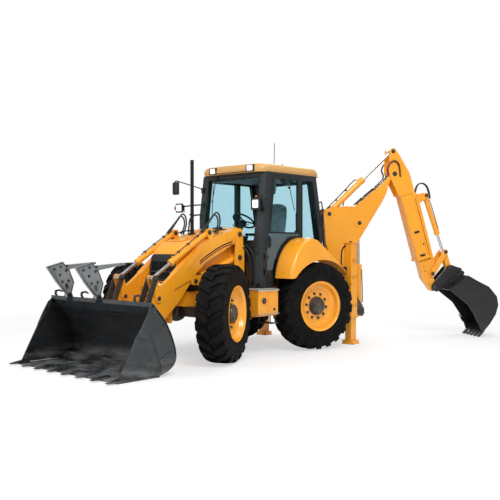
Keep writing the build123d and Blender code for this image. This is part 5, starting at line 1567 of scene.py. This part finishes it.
# rails and sliding carriage: clamp plates, hoses and the control valve
s = Shape()
for z in (450, 920):
    for side in (1, -1):
        s.box(-1066, -1060, side * 760, side * 910, z + 18, z + 102)
    s.box(-1067, -1059, -905, 905, z + 2, z + 9)
    s.box(-1067, -1059, -905, 905, z + 111, z + 118)
for side in (1, -1):
    s.prism([(-815, 700), (-760, 820), (-760, 990), (-815, 1038)], side * 236, side * 224)
    s.prism([(-815, 700), (-760, 820), (-760, 990), (-815, 1038)], side * 304, side * 316)
s.finish("railWear", yellow, "chassis", 1.5, "yellow_paint")
s = Shape()
for side in (1, -1):
    for z in (480, 540, 950, 1010):
        s.hexHead((-1066, side * 848, z), (-1, 0, 0), 13, 10)
        s.hexHead((-1066, side * 886, z), (-1, 0, 0), 13, 10)
s.finish("railBolts", boltSteel, "chassis", 0.8)
s = Shape()
for dy in (-200, -120, 120, 200):
    for z in (395, 1010):
        s.hexHead((-1140, 450 + dy, z), (-1, 0, 0), 15, 12)
        s.turn((-1139, 450 + dy, z), (-1, 0, 0), [(0, 22), (3, 22)], 24)
s.turn((-1280, 450, 780), (0, 0, 1), [(0, 62), (14, 62), (18, 56), (24, 30), (30, 30), (32, 26)], 36)
s.turn((-1280, 450, 360), (0, 0, -1), [(0, 60), (14, 60), (16, 54)], 36)
s.finish("carriageBolts", boltSteel, "carriage", 1)
s = Shape()
for k in range(4):
    y = 399 + k * 34
    s.tube([(-1075, y, 1060), (-1084, y, 1105), (-1112, y + 4, 1122), (-1138, y + 8, 1100),
            (-1142, y + 8, 1062)], 10, 10)
s.box(-1100, -1066, 370, 530, 1046, 1075)
s.finish("carriageHoses", hoseRubber, "carriage", 1)
s = Shape()  # valve block and its hoses behind the cab
s.box(-760, -640, -150, 330, 1040, 1180)
for k in range(6):
    y = -120 + k * 80
    s.rod((-700, y, 1180), (-700, y, 1230), 16, 16, 2)
    s.turn((-700, y, 1225), (0, 0, 1), [(0, 26), (8, 26), (12, 18)], 20)
    s.tube([(-760, y, 1110), (-820, y, 1110), (-860, y + 20, 1080), (-880, y + 40, 1050)], 10, 10)
s.finish("valveBlock", chassisBlack, "chassis", 3)

# side tanks: tread plates, lips, straps and filler
s = Shape()
for side in (1, -1):
    s.box(858, 1342, side * 548, side * 892, 1008, 1016)
    s.box(858, 1342, side * 884, side * 892, 986, 1016)
    for k in range(11):
        s.box(884 + k * 42, 902 + k * 42, side * 590, side * 870, 1015, 1020)
    s.prism([(862, 640), (1338, 640), (1338, 628), (862, 628)], side * 868, side * 900)
s.finish("tankSteps", stepPlate, "chassis", 1.5)
s = Shape()
for side in (1, -1):
    y0, y1 = side * 880, side * 888
    s.prism([(1085, 606), (1105, 606), (1105, 1004), (1085, 1004)], y0, y1)
    s.prism([(880, 960), (1070, 960), (1070, 985), (880, 985)], y0, y1)
    s.prism([(1120, 960), (1320, 960), (1320, 985), (1120, 985)], y0, y1)
    for x in (900, 1040, 1150, 1290):
        s.hexHead((x, y1, 972), (0, side, 0), 9, 7)
s.finish("tankStraps", yellow, "chassis", 2, "yellow_paint")
s = Shape()
s.rod((1200, 886, 840), (1200, 898, 840), 46, 36, 4)
s.rod((1200, 898, 840), (1200, 908, 840), 34, 12, 3)
for side in (1, -1):
    s.turn((960, side * 880, 700), (0, side, 0), [(0, 24), (6, 24), (8, 18)], 24)
    s.prism([(846, 470), (1000, 470), (1010, 482), (846, 482)], side * 560, side * 860)
    for y in (600, 820):
        s.prism([(862, 480), (882, 480), (900, 606), (876, 606)], side * y, side * (y + 14))
        s.prism([(990, 480), (1004, 480), (1004, 606), (990, 606)], side * y, side * (y + 14))
s.finish("tankFittings", chassisBlack, "chassis", 1.5)

# fenders: rolled rim, rubber seam along the cab, tail lamps and reflectors
fenderCrown = [(790, 1172), (771, 1290), (735, 1400), (665, 1540), (570, 1660), (430, 1762), (270, 1812),
               (100, 1770), (-150, 1615), (-450, 1425), (-700, 1225)]
s = Shape()
for side in (1, -1):
    s.tube([(x + (3 if i < 6 else 0), side * 746, z + 6) for i, (x, z) in enumerate(fenderCrown)], 10, 8, 5)
s.finish("fenderSeams", sealRubber, "chassis", 0)
s = Shape()
for side in (1, -1):
    line = []
    for k in range(25):
        t = math.radians(14 + (166 - 14) * k / 24)
        x, z = 906 * math.cos(t), 710 + 751 * math.sin(t)
        if -700 < x < 785:
            line.append(Vector((x, side * 1096, max(z, 1176))))
    s.sweep(line, 8, 8)
s.finish("fenderRims", yellow, "chassis", 0, "yellow_paint")
s, redPart, amberPart = Shape(), Shape(), Shape()
for side in (1, -1):
    s.box(-742, -716, side * 800, side * 1040, 1240, 1330)
    s.prism([(-716, 1238), (-690, 1238), (-660, 1290), (-716, 1290)], side * 880, side * 960)
    redPart.box(-748, -742, side * 925, side * 1034, 1248, 1322)
    amberPart.box(-748, -742, side * 808, side * 915, 1248, 1322)
s.finish("tailLampShells", darkPlastic, "chassis", 2)
redPart.finish("tailLamps", redLens, "chassis", 2)
amberPart.finish("tailIndicators", amberLens, "chassis", 2)

# driveline under the frame, steps up to the cab and valve hoses by the loader towers
s = Shape()
s.rod((120, 0, 700), (1260, 60, 690), 38, 24, 4)
s.rod((1500, 60, 690), (2070, 0, 700), 34, 24, 4)
for x in (140, 2040):
    s.turn((x, 0, 700), (1, 0, 0), [(-20, 60), (0, 76), (30, 76), (50, 50)], 28)
s.box(1260, 1500, -130, 150, 600, 800)
s.prism([(1480, 620), (2000, 660), (2300, 800), (1480, 800)], -140, 140)
s.finish("driveline", chassisBlack, "chassis", 4)
s = Shape()
for x in (0, 2200):
    for side in (1, -1):
        s.rod((x - 105, side * 120, 706), (x - 105, side * 520, 706), 26, 20, 3)
        s.rod((x - 105, side * 500, 706), (x - 108, side * 640, 706), 14, 14, 2)
        s.turn((x, side * 560, 710), (0, side, 0), [(0, 96), (14, 96), (18, 88)], 40)
        for k in range(8):
            t = math.pi * k / 4
            s.hexHead((x + 78 * math.sin(t), side * 574, 710 + 78 * math.cos(t)), (0, side, 0), 8, 9)
    s.turn((x + 120, 0, 710), (1, 0, 0), [(0, 128), (18, 128), (46, 96), (52, 60)], 40)
s.finish("axleTrim", chassisBlack, "chassis", 1)
s = Shape()
for side in (1, -1):
    for k in range(5):
        x = 1140 + (k % 3) * 17
        y = side * (500 + 34 * k)
        s.tube([(x, y, 1010), (x - 4, y + side * 6, 1200), (x + 6, y, 1420 + 20 * k),
                (x + 20, side * (480 + 16 * k), 1560 + 24 * k),
                (x + 60, side * (420 + 6 * k), 1640 + 18 * k)], 11, 10)
    s.box(1126, 1184, side * 480, side * 660, 1010, 1060)
    s.box(1122, 1176, side * 480, side * 600, 1120, 1420)
s.finish("towerHoses", hoseRubber, "chassis", 1)
s = Shape()
for side in (1, -1):
    s.box(1124, 1160, side * 330, side * 470, 1180, 1560)
    for k in range(8):
        s.box(1120, 1163, side * 336, side * 464, 1210 + k * 40, 1222 + k * 40)
    s.prism([(820, 1030), (1110, 1030), (1110, 1100), (820, 1100)], side * 560, side * 716)
    for k in range(5):
        s.box(850 + k * 52, 878 + k * 52, side * 600, side * 722, 1036, 1044)
s.finish("cabSteps", cabBlack, "chassis", 2)
print("rear made")


# Floor, light and camera.
studio = {"floorHalf": 60, "fadeStart": 5.0, "fadeEnd": 9.5, "floorTone": 0.86, "sky": 0.5}


def buildStage():
    mesh = bpy.data.meshes.new("studioFloor")
    h = studio["floorHalf"]
    mesh.from_pydata([(-h, -h, 0), (h, -h, 0), (h, h, 0), (-h, h, 0)], [], [(0, 1, 2, 3)])
    floor = bpy.data.objects.new("studioFloor", mesh)
    bpy.context.scene.collection.objects.link(floor)
    floor.location.z = cadLow.z - 0.001
    r = Recipe("studioFloorPaint")
    r.put(Base_Color=(studio["floorTone"],) * 3, Roughness=0.75, Specular_IOR_Level=0.1)
    nodesHere, links = r.tree.nodes, r.tree.links
    white = nodesHere.new("ShaderNodeEmission")
    white.inputs["Color"].default_value = (1, 1, 1, 1)
    reach = nodesHere.new("ShaderNodeVectorMath")
    reach.operation = "LENGTH"
    links.new(r.coord, reach.inputs[0])
    fade = r.spread(reach.outputs["Value"], studio["fadeStart"], studio["fadeEnd"], 0.55, 1.0)
    path = nodesHere.new("ShaderNodeLightPath")
    seen = nodesHere.new("ShaderNodeMath")
    seen.operation = "MAXIMUM"
    links.new(path.outputs["Is Camera Ray"], seen.inputs[0])
    links.new(path.outputs["Is Transmission Ray"], seen.inputs[1])
    mix = nodesHere.new("ShaderNodeMixShader")
    links.new(r.times(seen.outputs[0], fade), mix.inputs[0])
    links.new(r.shader.outputs[0], mix.inputs[1])
    links.new(white.outputs[0], mix.inputs[2])
    links.new(mix.outputs[0], nodesHere["Material Output"].inputs["Surface"])
    mesh.materials.append(r.mat)
    world = bpy.data.worlds.new("studioWorld")
    bpy.context.scene.world = world
    world.use_nodes = True
    tree = world.node_tree
    back = tree.nodes["Background"]
    back.inputs["Color"].default_value = (1.0, 1.0, 1.0, 1)
    back.inputs["Strength"].default_value = studio["sky"]
    shown = tree.nodes.new("ShaderNodeBackground")
    shown.inputs["Color"].default_value = (1, 1, 1, 1)
    shown.inputs["Strength"].default_value = 1.0
    path = tree.nodes.new("ShaderNodeLightPath")
    seen = tree.nodes.new("ShaderNodeMath")
    seen.operation = "MAXIMUM"
    tree.links.new(path.outputs["Is Camera Ray"], seen.inputs[0])
    tree.links.new(path.outputs["Is Transmission Ray"], seen.inputs[1])
    mix = tree.nodes.new("ShaderNodeMixShader")
    tree.links.new(seen.outputs[0], mix.inputs[0])
    tree.links.new(back.outputs[0], mix.inputs[1])
    tree.links.new(shown.outputs[0], mix.inputs[2])
    tree.links.new(mix.outputs[0], tree.nodes["World Output"].inputs["Surface"])


def lamp(name, place, target, size, power):
    data = bpy.data.lights.new(name, "AREA")
    data.size = size
    data.energy = power
    light = bpy.data.objects.new(name, data)
    light.location = place
    light.rotation_mode = "QUATERNION"
    light.rotation_quaternion = (Vector(target) - Vector(place)).to_track_quat("-Z", "Y")
    bpy.context.scene.collection.objects.link(light)


def buildCamera():
    view = {"place": (9556, 8352, 1642), "heading": 222.89, "tilt": -0.132, "lens": 52.95}
    data = bpy.data.cameras.new("camera")
    data.lens = view["lens"]
    data.sensor_width = 36
    camera = bpy.data.objects.new("camera", data)
    camera.location = at(*view["place"])
    a, e = math.radians(view["heading"]), math.radians(view["tilt"])
    look = Vector((math.cos(a) * math.cos(e), math.sin(a) * math.cos(e), math.sin(e)))
    camera.rotation_mode = "QUATERNION"
    camera.rotation_quaternion = look.to_track_quat("-Z", "Y")
    data.clip_start, data.clip_end = 0.1, 300
    bpy.context.scene.collection.objects.link(camera)
    bpy.context.scene.camera = camera


buildStage()
middle = (cadLow + cadHigh) / 2
lamp("keyLamp", middle + Vector((5.5, 7.0, 7.5)), middle, 5.0, 900)
lamp("fillLamp", middle + Vector((9.0, -3.0, 3.5)), middle, 5.0, 260)
lamp("topLamp", middle + Vector((-3.0, 0.0, 9.0)), middle, 6.0, 340)
lamp("backLamp", middle + Vector((-8.0, -6.0, 5.0)), middle, 5.0, 380)
buildCamera()
bpy.context.scene.view_settings.view_transform = "Standard"
print("stage and camera made")
